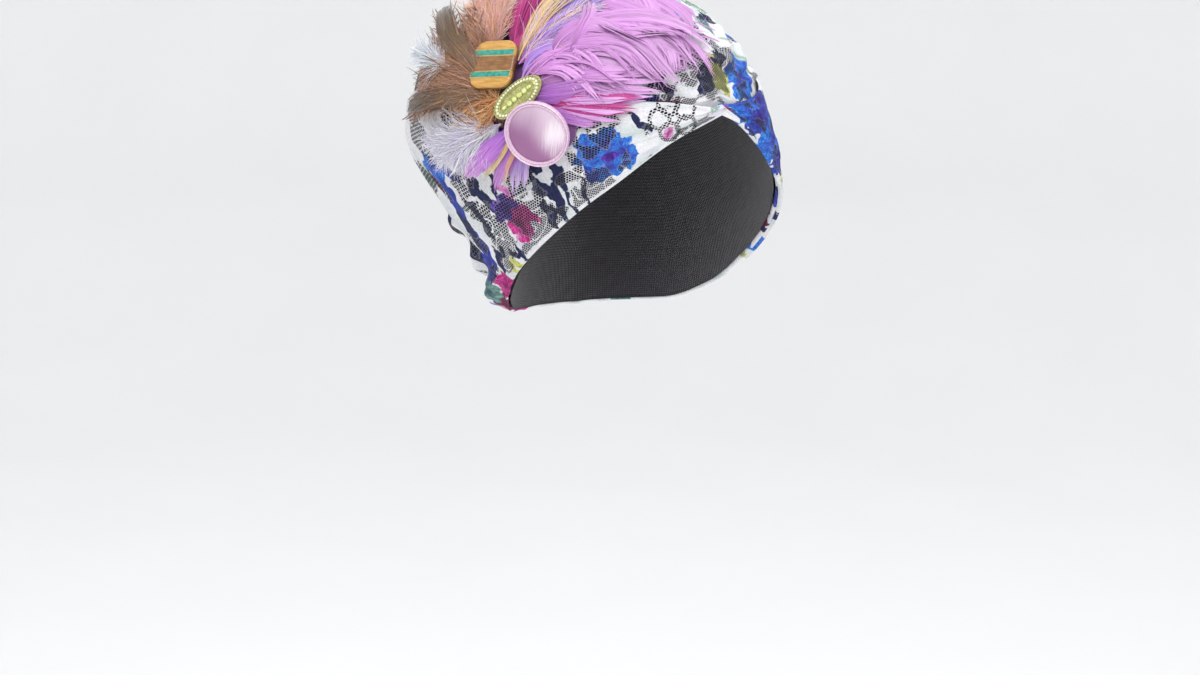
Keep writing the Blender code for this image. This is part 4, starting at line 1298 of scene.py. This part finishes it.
def add_hairs(locks, rng, quill, number, long, spread, lift, tones):
    """Loose down: single hairs from the quill, fine and waved."""
    share = rng.uniform(0.05, 1.0, number)
    q = np.linspace(0, 1, 6)
    turn = np.radians(rng.normal(0, spread, number))[:, None] + rng.normal(0, 0.35, (number, 1)) * q
    pitch = np.radians(rng.uniform(-6, lift, number))[:, None] - rng.uniform(0, 0.5, (number, 1)) * q
    length = long * rng.uniform(0.35, 1.0, number) * (1.1 - 0.4 * share)
    centre, _, beside = barb_paths(quill, share, turn, pitch, length)
    thick = (0.00017 * (1 - 0.7 * q))[None, :, None]
    points = np.stack([centre - beside * thick, centre + beside * thick], axis=2)
    tones = np.array(tones)
    pick = tones[rng.integers(0, len(tones), number)] * (1 + rng.normal(0, 0.12, (number, 1)))
    strands = np.zeros_like(points) + rng.uniform(0, 9, (number, 1, 1, 1))
    locks.add(points, pick[:, None, None, :] * np.ones_like(points), strands)


def add_quill(locks, quill, colour):
    t, p, _, across, normal = quill
    wide = 0.00055 * (1 - 0.8 * t)[:, None]
    ridge = p + normal * 0.0006
    points = np.stack([p - across * wide, ridge, p + across * wide], axis=1)[None]
    locks.add(points, np.array(colour) * np.ones_like(points), np.zeros_like(points))


# Feather colours, linear: root, middle, tip
# Most run from dark roots to light tips: painted shade deep in the bunch and painted highlight at the tips;
# the hackle and dark rows darken to their own dark tips
COLOURS = {name: (numbers[:3], numbers[3:6], numbers[6:]) for name, *numbers in rows("""
lavender .38 .12 .43 .66 .29 .69 .76 .43 .78
orchid .24 .08 .5 .52 .19 .66 .68 .32 .72
lilac .28 .12 .5 .46 .26 .74 .74 .58 .82
periwinkle .44 .2 .4 .3 .22 .72 .58 .52 .84
fuchsia .2 .006 .07 .5 .03 .22 .64 .08 .36
yellow .62 .34 .2 .74 .52 .24 .84 .7 .42
peach .52 .2 .09 .76 .38 .24 .84 .56 .44
hackle .46 .22 .11 .36 .17 .085 .17 .1 .05
dark .34 .18 .09 .15 .095 .045 .055 .042 .02
down .56 .48 .64 .74 .71 .82 .88 .88 .92
amber .3 .09 .04 .62 .25 .07 .78 .5 .2
""")}

# How high the middle of a strip of barbs stands, as a share of its breadth
RIDGE = 0.10
# Looks of a vane: strips, steps along each, combing, tears, roll and twist in degrees, and its point.
# Looks of a brush: locks a side, columns, steps, reach, width, bend, lift, droop, unevenness
LOOKS = {
    "sheet": (11, 26, 0.14, 3, 9, 30, 0.16),
    "curl": (8, 28, 0.6, 2, 14, 40, 0.20),
    "fringe": (9, 24, 2.2, 4, 8, 20, 0.14),
    "string": (2, 24, 0.8, 0, 30, 60, 0.10),
    "streaks": (26, 20, 2.0, 5, 6, 16, 0.14),
    "blade": (9, 20, 0.12, 1, 4, 8, 0.46),
    "brush": (36, 3, 8, 0.26, 0.0009, -20, 12, 20, 0.9),
    "wisp": (18, 3, 9, 0.34, 0.0006, -14, 10, 14, 1.0),
}

# Loose down of a feather: hairs, length in mm, spread and lift in degrees, and the tones of its hairs
DOWNS = {name: (int(number), long, spread, lift, np.reshape(tones, (-1, 3))) for
         name, number, long, spread, lift, *tones in rows("""
few_orchid 26 18 34 12 .66 .29 .69 .76 .43 .78
few_pink 160 22 22 14 .58 .52 .84 .84 .56 .44 .76 .43 .78 .84 .7 .42
brown_down 1150 19 44 26 .46 .22 .11 .36 .17 .085 .44 .24 .14 .5 .3 .22
peach_down 1500 19 34 20 .76 .38 .24 .84 .56 .44 .8 .46 .5
white_down 850 26 32 22 .74 .71 .82 .88 .88 .92 .88 .88 .92 .62 .56 .8
mint_down 900 22 30 20 .88 .88 .92 .62 .76 .72 .7 .66 .8
amber_down 700 16 46 30 .62 .25 .07 .78 .5 .2 .3 .09 .04
""", (2,))}

# Feathers of each bunch, by its node and its slot: right and up of the corsage's middle, heading, length,
# curl, base, arch, half width, look, colours and down. Lengths are in mm
BUNCHES = {
    ("lavender_feathers", "lavender"): """
6 2 -19 66 2 1.4 3 6.4 blade fuchsia no_down
6 4 -11 68 -2 1.4 3 6 blade fuchsia no_down
6 -2 -20 46 4 1.4 2 8 sheet orchid few_orchid
7 3 -8 62 -4 1 3 11 sheet lavender few_orchid
8 5 6 80 -12 1.4 3.6 12 sheet lavender few_orchid
8 6 18 96 -22 1.2 5 13 sheet lavender few_orchid
8 7 30 110 -34 1.6 6 13.5 sheet lavender few_orchid
8 8 41 118 -46 1.4 7 13.5 sheet lavender few_orchid
8 9 50 120 -52 1.8 7 12.5 sheet lavender few_orchid
8 9 62 112 -50 2 7 9 sheet lavender few_orchid
8 10 58 128 -104 4 8 8 sheet lavender no_down
8 10 50 118 -78 4.4 9 7.5 curl lavender no_down
9 9 46 100 -90 5.2 9 8 sheet lavender no_down
10 10 34 86 -74 5.6 8 6 curl lavender few_orchid
7 5 14 62 -26 4 5 8.5 sheet lavender few_orchid
6 1 -8 46 14 4 4 6.5 curl orchid no_down
7 8 30 52 -90 6 6 5.5 fringe lavender few_orchid
6 9 52 56 -120 6.4 6 5 fringe lavender few_orchid
4 8 74 54 -130 6.8 6 4.5 fringe lilac few_orchid
30 52 4 74 -70 8.4 6 9 sheet lavender no_down
44 40 -30 52 -30 9 5 8 sheet lavender no_down
16 24 44 70 -112 8.8 6 7.5 sheet lavender no_down
64 48 -30 52 -60 7.4 4 8.5 sheet lavender no_down
50 56 10 66 -96 6 5 8.5 sheet lavender no_down
30 8 -12 42 16 6.4 4 6 curl lavender no_down
50 22 -4 40 -40 6.4 4 7 sheet lavender no_down
42 30 8 40 -60 7 6 5 fringe lavender no_down
30 42 20 50 -70 8 6 5 fringe lavender no_down
24 18 72 52 -150 10.4 6 7 curl lavender no_down
34 14 40 50 62 10 6 6.5 curl lavender no_down
46 42 -64 44 46 10.4 5 8 curl lavender no_down
60 44 -84 40 30 10 4 7 fringe lavender no_down
42 60 28 62 -150 10 5 7.5 curl lavender no_down
36 26 -58 38 10 9 2 1.1 string lavender no_down
20 30 -30 44 -40 9.4 3 1 string lavender no_down
18 20 -48 34 30 9 2 1 string lavender no_down
14 14 60 70 -120 8 6 1.2 string lavender no_down
16 12 36 66 -90 8.4 6 1.2 string lavender no_down
16 10 16 60 -60 8 5 1.2 string lavender no_down
30 32 44 60 -70 8.4 5 1.2 string lavender no_down
""",
    ("violet_feathers", "violet"): """
4 18 56 104 -30 4.8 9 10 streaks periwinkle few_pink
3 18 64 106 -26 5 9 9 streaks periwinkle few_pink
3 18 50 72 -30 6.4 9 8 streaks lilac few_pink
2 17 44 50 -30 6.4 6 6 streaks lavender few_pink
1 19 70 100 -24 6.4 10 7.5 streaks yellow few_pink
""",
    ("magenta_feathers", "magenta"): """
-3.5 27 74 88 -18 3 10 8.5 streaks fuchsia no_down
-3.5 27 80 92 -14 3.6 10 8.5 streaks fuchsia no_down
-3.5 24 88 84 -10 4 10 8 streaks fuchsia no_down
-2 16 72 50 -10 4.4 5 6 streaks fuchsia no_down
""",
    ("peach_feathers", "peach"): """
-13.5 30 95 80 0 3.6 11 12 wisp peach peach_down
-13.5 30 105 78 2 4.4 11 12 wisp peach peach_down
-14 28 116 66 4 4 11 12 brush peach peach_down
""",
    ("brown_feathers", "brown"): """
-17 6 127 80 6 2.4 11 11 brush hackle brown_down
-18 18 116 60 4 3 10 11 brush hackle brown_down
-18 12 142 48 4 4 9 11 brush hackle brown_down
-17 6 139 68 8 3.4 11 12 brush hackle brown_down
-17 6 151 66 8 3 10 12 brush hackle brown_down
-17 6 163 64 8 3.6 10 12 brush hackle brown_down
-17 6 174 70 8 3 9 11 brush hackle brown_down
-40 22 152 48 4 15 4 8 wisp down mint_down
-18 10 127 84 8 9 13 7 blade dark no_down
-18 4 172 74 8 9 10 7 blade dark no_down
-10 2 172 36 4 5 4 10 brush amber amber_down
-10 0 192 42 4 4.6 3 10 brush amber amber_down
""",
    ("lilac_feathers", "lilac"): """
-15 -9 180 64 4 4.8 6 10 wisp down white_down
-15 -9 191 64 6 5.4 6 10 wisp down white_down
-15 -9 198 52 8 4.6 4 9 wisp down white_down
""",
    ("lower_feathers", "orchid"): """
-6 -11 203 60 8 9.2 7 6.6 blade orchid no_down
-2 -13 224 54 2 7.8 2.6 5.6 blade orchid no_down
-1 -14 238 48 -2 6.4 2.6 4.8 blade lilac no_down
-1 -14 250 42 -8 5 2.6 4.5 blade lilac no_down
-3 -12 215 52 4 9.8 3 1.8 string yellow no_down
-1 -13 230 46 0 9.2 3 1.6 string peach no_down
""",
}


def feather_pieces():
    satin = feather_finish("satin_barbs")
    rng = np.random.default_rng(21)
    for (node, slot), table in BUNCHES.items():
        locks = Locks()
        for right, up, *bend, half, look, tone, down in rows(table, (0, 1, 3, 5, 6, 7)):
            heading, length, curl, base, arch = bend
            colours = COLOURS[tone]
            quill = quill_rows(from_middle(right, up), heading, curl, length, base, arch)
            add_quill(locks, quill, colours[1])
            if look in ("brush", "wisp"):
                for side in (-1, 1):
                    add_side(locks, rng, quill, side, half, LOOKS[look], colours)
            else:
                add_vane(locks, rng, quill, half, LOOKS[look], colours)
            if down != "no_down":
                add_hairs(locks, rng, quill, *DOWNS[down])
        made = locks.finish(node.replace("_feathers", "_plumes"), satin)
        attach(made, "root")
        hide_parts(node)


def ring(count, half_x, half_y, height, x=0.0, y=0.0, turn=0.0, shift=0.0):
    """Points round an ellipse at a height."""
    points = []
    for i in range(count):
        a = 2 * math.pi * (i + shift) / count
        px, py = half_x * math.cos(a), half_y * math.sin(a)
        across = x + px * math.cos(turn) - py * math.sin(turn)
        along = y + px * math.sin(turn) + py * math.cos(turn)
        points.append((across, along, height))
    return points


class Solid:
    """Vertices and faces of one button's piece, in the button's own axes."""

    def __init__(self):
        self.points, self.faces = [], []

    def add(self, points, faces):
        start = len(self.points)
        self.points += [tuple(map(float, p)) for p in points]
        self.faces += [tuple(start + i for i in face) for face in faces]

    def rings(self, rings):
        """A closed skin over rings of equal count, from the top ring down to the bottom one."""
        count = len(rings[0])
        faces = []
        for k in range(len(rings) - 1):
            for i in range(count):
                j = (i + 1) % count
                faces.append((k * count + i, (k + 1) * count + i, (k + 1) * count + j, k * count + j))
        faces.append(tuple(range(count)))
        faces.append(tuple(range((len(rings) - 1) * count, len(rings) * count))[::-1])
        self.add([p for ring in rings for p in ring], faces)

    def turned(self, profile, segments, squash=1.0):
        """A solid of revolution from a profile of (radius, height), squashed along Y for an oval."""
        self.rings([ring(segments, radius, radius * squash, height) for radius, height in profile])

    def shank(self, place, segments):
        """The short neck between a button and the felt pad."""
        self.turned([(SHANK_RADIUS, 0.0006), (SHANK_RADIUS, CLEARANCE - place[-1])], segments)

    def bead(self, x, y, z, radius):
        """A small round bead of three rings of eight points."""
        tilts = [math.pi * k / 4 for k in (1, 2, 3)]
        reaches = [(radius * math.sin(tilt), z + radius * math.cos(tilt)) for tilt in tilts]
        self.rings([ring(8, reach, reach, height, x, y) for reach, height in reaches])

    def stone(self, x, y, turn, half_x, half_y, low, high):
        """A cut stone with eight corners: girdle, crown facets and a table."""
        middle = low + (high - low) * 0.45
        shoulder = high - (high - middle) * 0.35
        rings = []
        steps = ((high, 0.58, 1.0), (shoulder, 0.86, 0.5), (middle, 1.0, 1.0), (low, 0.9, 0.5))
        for height, scale, shift in steps:
            rings.append(ring(8, half_x * scale, half_y * scale, height, x, y, turn, shift))
        self.rings(rings)

    def piece(self, name, place, finish, smooth=True):
        local = np.array(self.points)
        frame_of = button_frame(place)
        world = np.array([frame_of @ Vector(p) for p in self.points])
        made = mesh_piece(name, world, self.faces, finish, smooth=smooth, values={"local": local})
        if smooth:
            made.data.set_sharp_from_angle(angle=math.radians(32))
        return made


def button_frame(place):
    """Matrix that seats a button on the pad: +X to the right, +Y up, +Z away from the hat."""
    right, up, turn, stand = place
    angle, level = from_middle(right, up)
    point, normal = place_on_hat(angle, level, pad_top() + stand)
    across, along = tangents_at(angle, level)
    axes = Matrix((across, along, normal)).transposed().to_4x4()
    return Matrix.Translation(point) @ axes @ Matrix.Rotation(math.radians(turn), 4, "Z")


def rounded_outline(width, height, corner):
    """Points of a rectangle with round corners, counter-clockwise."""
    points, steps = [], 10
    for side_x, side_y, start in ((1, 1, 0), (-1, 1, 90), (-1, -1, 180), (1, -1, 270)):
        x, y = side_x * (width / 2 - corner), side_y * (height / 2 - corner)
        for i in range(steps + 1):
            a = math.radians(start + 90 * i / steps)
            points.append((x + corner * math.cos(a), y + corner * math.sin(a)))
    return points


def plate_rings(width, height, corner, steps, middle=0.0):
    """Rings of a rounded plate from steps of (inset, height)."""
    rings = []
    for inset, z in steps:
        outline = rounded_outline(width - 2 * inset, height - 2 * inset, max(corner - inset, 0.0001))
        rings.append([(x, y + middle, z) for x, y in outline])
    return rings


def even_ellipse(length, width, count):
    """Points spaced evenly along an ellipse."""
    fine = np.linspace(0, 2 * math.pi, 721)
    x, y = length / 2 * np.cos(fine), width / 2 * np.sin(fine)
    run = np.concatenate([[0], np.cumsum(np.hypot(np.diff(x), np.diff(y)))])
    at = np.interp(np.arange(count) * run[-1] / count, run, fine)
    return [(length / 2 * math.cos(a), width / 2 * math.sin(a)) for a in at]


def pearl_disc_finish():
    """Satin pearl: brushed streaks from lower left to upper right, over painted shade from dark mauve at the
    lower left to light pink at the upper right, with painted near-white highlights.
    """
    s = Shader("satin_pearl", 0.26)
    local = s.attribute("local", "Vector")
    turned_at = s.nodes.new("ShaderNodeVectorRotate")
    turned_at.inputs["Angle"].default_value = math.radians(-62)
    s.links.new(local, turned_at.inputs["Vector"])
    streaks = s.noise(s.vector("MULTIPLY", turned_at.outputs[0], (60.0, 2300.0, 20.0)), 1.0, 3.0)
    cloud = s.noise(s.vector("MULTIPLY", turned_at.outputs[0], (26.0, 34.0, 10.0)), 1.0, 1.0)
    # Painted shade and light: darker mauve towards the lower left, lighter towards the upper right, with
    # cloudy mottle and streaks
    slope = s.vector("DOT_PRODUCT", local, (24.0, 20.0, 0.0), output=1)
    tone = s.ramp(s.plus(s.plus(slope, cloud), s.times(streaks, 0.22)), 0.20, 1.15)
    colour = s.mix(tone, (0.31, 0.12, 0.28), (0.76, 0.58, 0.71))
    # Painted highlight: near-white patches where the cloud and the streaks run high
    painted_highlight = s.ramp(s.plus(cloud, s.times(streaks, 0.35)), 0.72, 0.96)
    s.set("Base Color", s.mix(s.times(painted_highlight, 0.9), colour, (0.95, 0.90, 0.94)))
    s.set("Metallic", 0.35)
    s.set("Coat Weight", 0.5)
    s.set("Coat Roughness", 0.12)
    s.bump(streaks, 0.0003, 0.35)
    return s.material


def plain_finish(name, colour, shade, roughness, metallic=0.0, coat=0.0, scale=500.0):
    """A finish with slight mottling between two tones, read in the button's own axes."""
    s = Shader(name, roughness)
    local = s.attribute("local", "Vector")
    grain = s.noise(local, scale, 3.0)
    s.set("Base Color", s.mix(s.ramp(grain, 0.3, 0.7), colour, shade))
    s.set("Metallic", metallic)
    s.set("Coat Weight", coat)
    s.set("Coat Roughness", 0.08)
    s.bump(grain, 0.0002, 0.4)
    return s.material


def tile_finish():
    """The square button: amber ends with a brown band between its stripes, all with a streaky grain, and
    painted shade that darkens its sides towards the bottom.
    """
    s = Shader("amber_tile", 0.34)
    local = s.attribute("local", "Vector")
    split = s.nodes.new("ShaderNodeSeparateXYZ")
    s.links.new(local, split.inputs[0])
    grain = s.noise(s.vector("MULTIPLY", local, (160.0, 700.0, 300.0)), 1.0, 3.0)
    inside = STRIPE_OFFSET - STRIPE_WIDTH / 2
    band = s.ramp(s.math("ABSOLUTE", split.outputs[1]), inside, inside + 0.0006, 1.0, 0.0)
    amber = s.mix(s.ramp(grain, 0.3, 0.7), (0.50, 0.25, 0.045), (0.66, 0.37, 0.095))
    brown = s.mix(s.ramp(grain, 0.3, 0.7), (0.20, 0.085, 0.024), (0.33, 0.155, 0.050))
    # Painted shade: the sides darken to dark brown towards the bottom of the tile
    low = s.ramp(split.outputs[2], SQUARE_THICKNESS * 0.75, SQUARE_THICKNESS * 0.45)
    side = s.mix(s.times(low, 0.85), s.mix(band, amber, brown), (0.14, 0.055, 0.018))
    s.set("Base Color", side)
    s.set("Coat Weight", 0.35)
    s.set("Coat Roughness", 0.15)
    s.bump(grain, 0.0003, 0.4)
    return s.material


def square_pieces():
    edge = [(0.0022, 0.0), (0.0009, 0.0), (0.0003, 0.0002), (0.0, 0.0008)]
    top = SQUARE_THICKNESS
    rim = [(0.0, top - 0.0012), (0.0003, top - 0.0005), (0.0009, top - 0.0001), (0.0016, top)]
    tile = Solid()
    rings = plate_rings(SQUARE_WIDTH, SQUARE_HEIGHT, SQUARE_CORNER, (edge + rim)[::-1])
    tile.rings(rings)
    tile.shank(SQUARE_PLACE, 32)
    body = tile.piece("square_tile", SQUARE_PLACE, tile_finish())
    made = [(body, ["square_button"], "amber_tile")]
    teal = plain_finish("teal_enamel", (0.010, 0.22, 0.165), (0.045, 0.36, 0.28), 0.20, 0.0, 0.6, 420.0)
    gold = plain_finish("stripe_gold", (0.62, 0.40, 0.12), (0.80, 0.58, 0.24), 0.28, metallic=0.8)
    for name, side in (("upper_stripe", 1), ("lower_stripe", -1)):
        middle = side * STRIPE_OFFSET
        reach = stripe_reach(middle + side * STRIPE_WIDTH / 2)
        border = Solid()
        steps = [(0.0003, top + 0.00022), (0.0, top + 0.00012), (0.0, top - 0.0004)]
        border.rings(plate_rings(2 * reach - 0.0004, STRIPE_WIDTH + 0.0002, 0.0008, steps, middle))
        inlay = Solid()
        steps = [(0.0005, top + 0.00046), (0.0001, top + 0.00034), (0.0, top - 0.0002)]
        inlay.rings(plate_rings(2 * reach - 0.0012, STRIPE_WIDTH - 0.0010, 0.0007, steps, middle))
        made.append((inlay.piece(name + "_enamel", SQUARE_PLACE, teal), [name], "teal_inlay"))
        made.append((border.piece(name + "_border", SQUARE_PLACE, gold), [], "pale_gold"))
    return made


def stripe_reach(height):
    """Half the tile's width at a height above its middle."""
    over = max(abs(height) - (SQUARE_HEIGHT / 2 - SQUARE_CORNER), 0.0)
    return SQUARE_WIDTH / 2 - SQUARE_CORNER + math.sqrt(max(SQUARE_CORNER**2 - over**2, 0.0))


def oval_pieces():
    squash = OVAL_WIDTH / OVAL_LENGTH
    half, top = OVAL_LENGTH / 2, OVAL_THICKNESS
    metal = plain_finish("pale_gold", (0.34, 0.34, 0.10), (0.62, 0.62, 0.28), 0.28, 0.3, scale=900.0)
    profile = rows("""
.7 .62
.715 .98
.75 1.04
.79 .84
.9 .74
.955 .8
.99 .62
1 .4
""")
    profile = [(half * out, top * up) for out, up in profile] + [(half * 0.985, 0.0003), (half * 0.93, 0.0)]
    setting = Solid()
    setting.turned(profile, 96, squash)
    setting.shank(OVAL_PLACE, 24)
    for x, y in even_ellipse(OVAL_LENGTH * 0.955, OVAL_WIDTH * 0.94, 76):
        setting.bead(x, y, top * 0.86, 0.00056)
    for x, y in even_ellipse(OVAL_LENGTH * 0.735, OVAL_WIDTH * 0.62, 58):
        setting.bead(x, y, top * 1.03, 0.00042)
    made = [(setting.piece("oval_mount", OVAL_PLACE, metal), ["oval_setting"], "pale_gold")]
    pale = plain_finish("pale_stones", (0.80, 0.82, 0.48), (0.95, 0.96, 0.76), 0.08, metallic=0.1, coat=1.0)
    border = Solid()
    for x, y in even_ellipse(OVAL_LENGTH * 0.85, OVAL_WIDTH * 0.80, 36):
        border.stone(x, y, math.atan2(y, x), 0.00092, 0.00092, top * 0.74, top * 0.74 + 0.0011)
    made.append((border.piece("border_stones", OVAL_PLACE, pale, smooth=False), [], "pale_gold"))
    lime = plain_finish("lime_stones", (0.60, 0.68, 0.16), (0.86, 0.92, 0.44), 0.06, coat=1.0, scale=500.0)
    channel = OVAL_LENGTH * 0.72
    pitch = channel * 0.90 / BAGUETTE_COUNT
    for i in range(BAGUETTE_COUNT):
        x = (i - (BAGUETTE_COUNT - 1) / 2) * pitch
        room = OVAL_WIDTH * 0.17 * math.sqrt(max(1 - ((abs(x) + pitch / 2) / (channel / 2)) ** 2, 0.05))
        half_y = min(BAGUETTE_WIDTH / 2, room - CLEARANCE) * 1.15
        stone = Solid()
        seat = top * 0.62 + 0.0001
        stone.stone(x, 0.0, 0.0, pitch * 0.46, half_y, seat, seat + BAGUETTE_HEIGHT)
        cut = stone.piece(f"lime_baguette_{i + 1}", OVAL_PLACE, lime, smooth=False)
        made.append((cut, [f"baguette_stone_{i + 1}"], "lime_stone"))
    return made


# Profile of the round button's rim: out from its inner edge and up from its top, in mm
RIM_GROOVE = rows("""
-.2 -.7
.3 -.2
.8 -.3
1.1 -.9
1.4 -.3
1.9 .1
2.3 -.2
""", (0, 1))


def round_pieces():
    outer, top = ROUND_DIAMETER / 2, ROUND_THICKNESS
    inner = outer - ROUND_RIM
    rim = Solid()
    groove = [(inner + out, top + up) for out, up in RIM_GROOVE]
    edge = [(outer, top - 0.0010), (outer, 0.0014), (outer - 0.0004, 0.0006), (outer - 0.0014, 0.0)]
    rim.turned([(inner - 0.0006, top * 0.50)] + groove + edge, 128)
    rim.shank(ROUND_PLACE, 24)
    pink = plain_finish("pearl_rim", (0.66, 0.44, 0.60), (0.80, 0.62, 0.74), 0.30, coat=0.5, scale=700.0)
    made = [(rim.piece("pearl_rim", ROUND_PLACE, pink), ["round_button_rim"], "pink_rim")]
    disc = Solid()
    low = top * 0.45
    shares = [0.001, 0.2, 0.4, 0.6, 0.75, 0.88, 0.96, 1.0]
    profile = [((inner - CLEARANCE) * k, low + 0.0009 + (DISC_RISE - 0.0006) * (1 - k * k)) for k in shares]
    disc.turned(profile + [(inner - CLEARANCE, low + CLEARANCE)], 96)
    face = disc.piece("pearl_disc", ROUND_PLACE, pearl_disc_finish())
    return made + [(face, ["round_button_disc"], "pink_pearl")]


def pad_piece():
    """The felt pad takes the plum of the feathers' roots."""
    s = Shader("plum_felt", 0.95)
    at = s.nodes.new("ShaderNodeTexCoord").outputs["Object"]
    fuzz = s.noise(at, 1500.0, 3.0)
    s.set("Base Color", s.mix(fuzz, (0.10, 0.030, 0.13), (0.26, 0.10, 0.30)))
    s.set("Sheen Weight", 0.5)
    s.bump(fuzz, 0.0006, 0.7)
    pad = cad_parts["corsage_pad"]
    pad.data.materials.clear()
    pad.data.materials.append(s.material)


def button_pieces():
    for made, nodes, slot in square_pieces() + oval_pieces() + round_pieces():
        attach(made, "root")
        if nodes:
            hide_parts(*nodes)


def camera_and_light():
    turn, rise = math.radians(-VIEW_TURN), math.radians(VIEW_RISE)
    away = Vector((math.sin(turn) * math.cos(rise), -math.cos(turn) * math.cos(rise), math.sin(rise)))
    right = (-away).cross(Vector((0, 0, 1))).normalized()
    up = right.cross(-away)
    per_pixel = SENSOR / VIEW_LENS * VIEW_DISTANCE / IMAGE[0]
    aim = -right * (ORIGIN_AT[0] - IMAGE[0] / 2) * per_pixel - up * (IMAGE[1] / 2 - ORIGIN_AT[1]) * per_pixel
    data = bpy.data.cameras.new("view")
    data.lens = VIEW_LENS
    data.sensor_width = SENSOR
    data.clip_start = 0.05
    camera = bpy.data.objects.new("view", data)
    camera.location = away * VIEW_DISTANCE
    camera.rotation_euler = (aim - camera.location).to_track_quat("-Z", "Y").to_euler()
    bpy.context.scene.collection.objects.link(camera)
    bpy.context.scene.camera = camera
    for name, place, size, power in (
        ("key", (-0.9, -1.5, 1.3), 1.0, 21.0),
        ("fill", (1.5, -1.2, 0.5), 1.6, 4.0),
        ("back", (0.5, 1.4, 1.4), 1.2, 12.0),
        ("top", (0.0, -0.2, 1.9), 1.2, 7.0),
    ):
        light = bpy.data.lights.new(name, "AREA")
        light.size = size
        light.energy = power
        lamp = bpy.data.objects.new(name, light)
        lamp.location = place
        lamp.rotation_euler = (Vector((0, 0, 0.04)) - lamp.location).to_track_quat("-Z", "Y").to_euler()
        bpy.context.scene.collection.objects.link(lamp)
    world = bpy.data.worlds.new("soft_room")
    world.use_nodes = True
    world.node_tree.nodes["Background"].inputs["Color"].default_value = (0.93, 0.94, 0.96, 1.0)
    world.node_tree.nodes["Background"].inputs["Strength"].default_value = 0.90
    bpy.context.scene.world = world
    bpy.context.scene.view_settings.view_transform = "Standard"


def stage_floor():
    """A pale floor all round, so that every view has the same plain ground."""
    s = Shader("pale_floor", 0.9)
    at = s.nodes.new("ShaderNodeTexCoord").outputs["Object"]
    s.set("Base Color", s.mix(s.noise(at, 3.0), (0.92, 0.92, 0.92), (0.96, 0.96, 0.96)))
    profile = ((0.0, 0.0), (2.0, 0.0), (3.2, 0.05), (4.2, 0.45), (4.8, 1.3), (5.0, 4.0))
    points = [p for radius, rise in profile for p in ring(64, radius, radius, FLOOR + rise)]
    floor = mesh_piece("floor", points, grid_faces(len(profile), 64, closed=True), s.material)


camera_and_light()
stage_floor()
cloth_pieces()
feather_pieces()
button_pieces()
pad_piece()
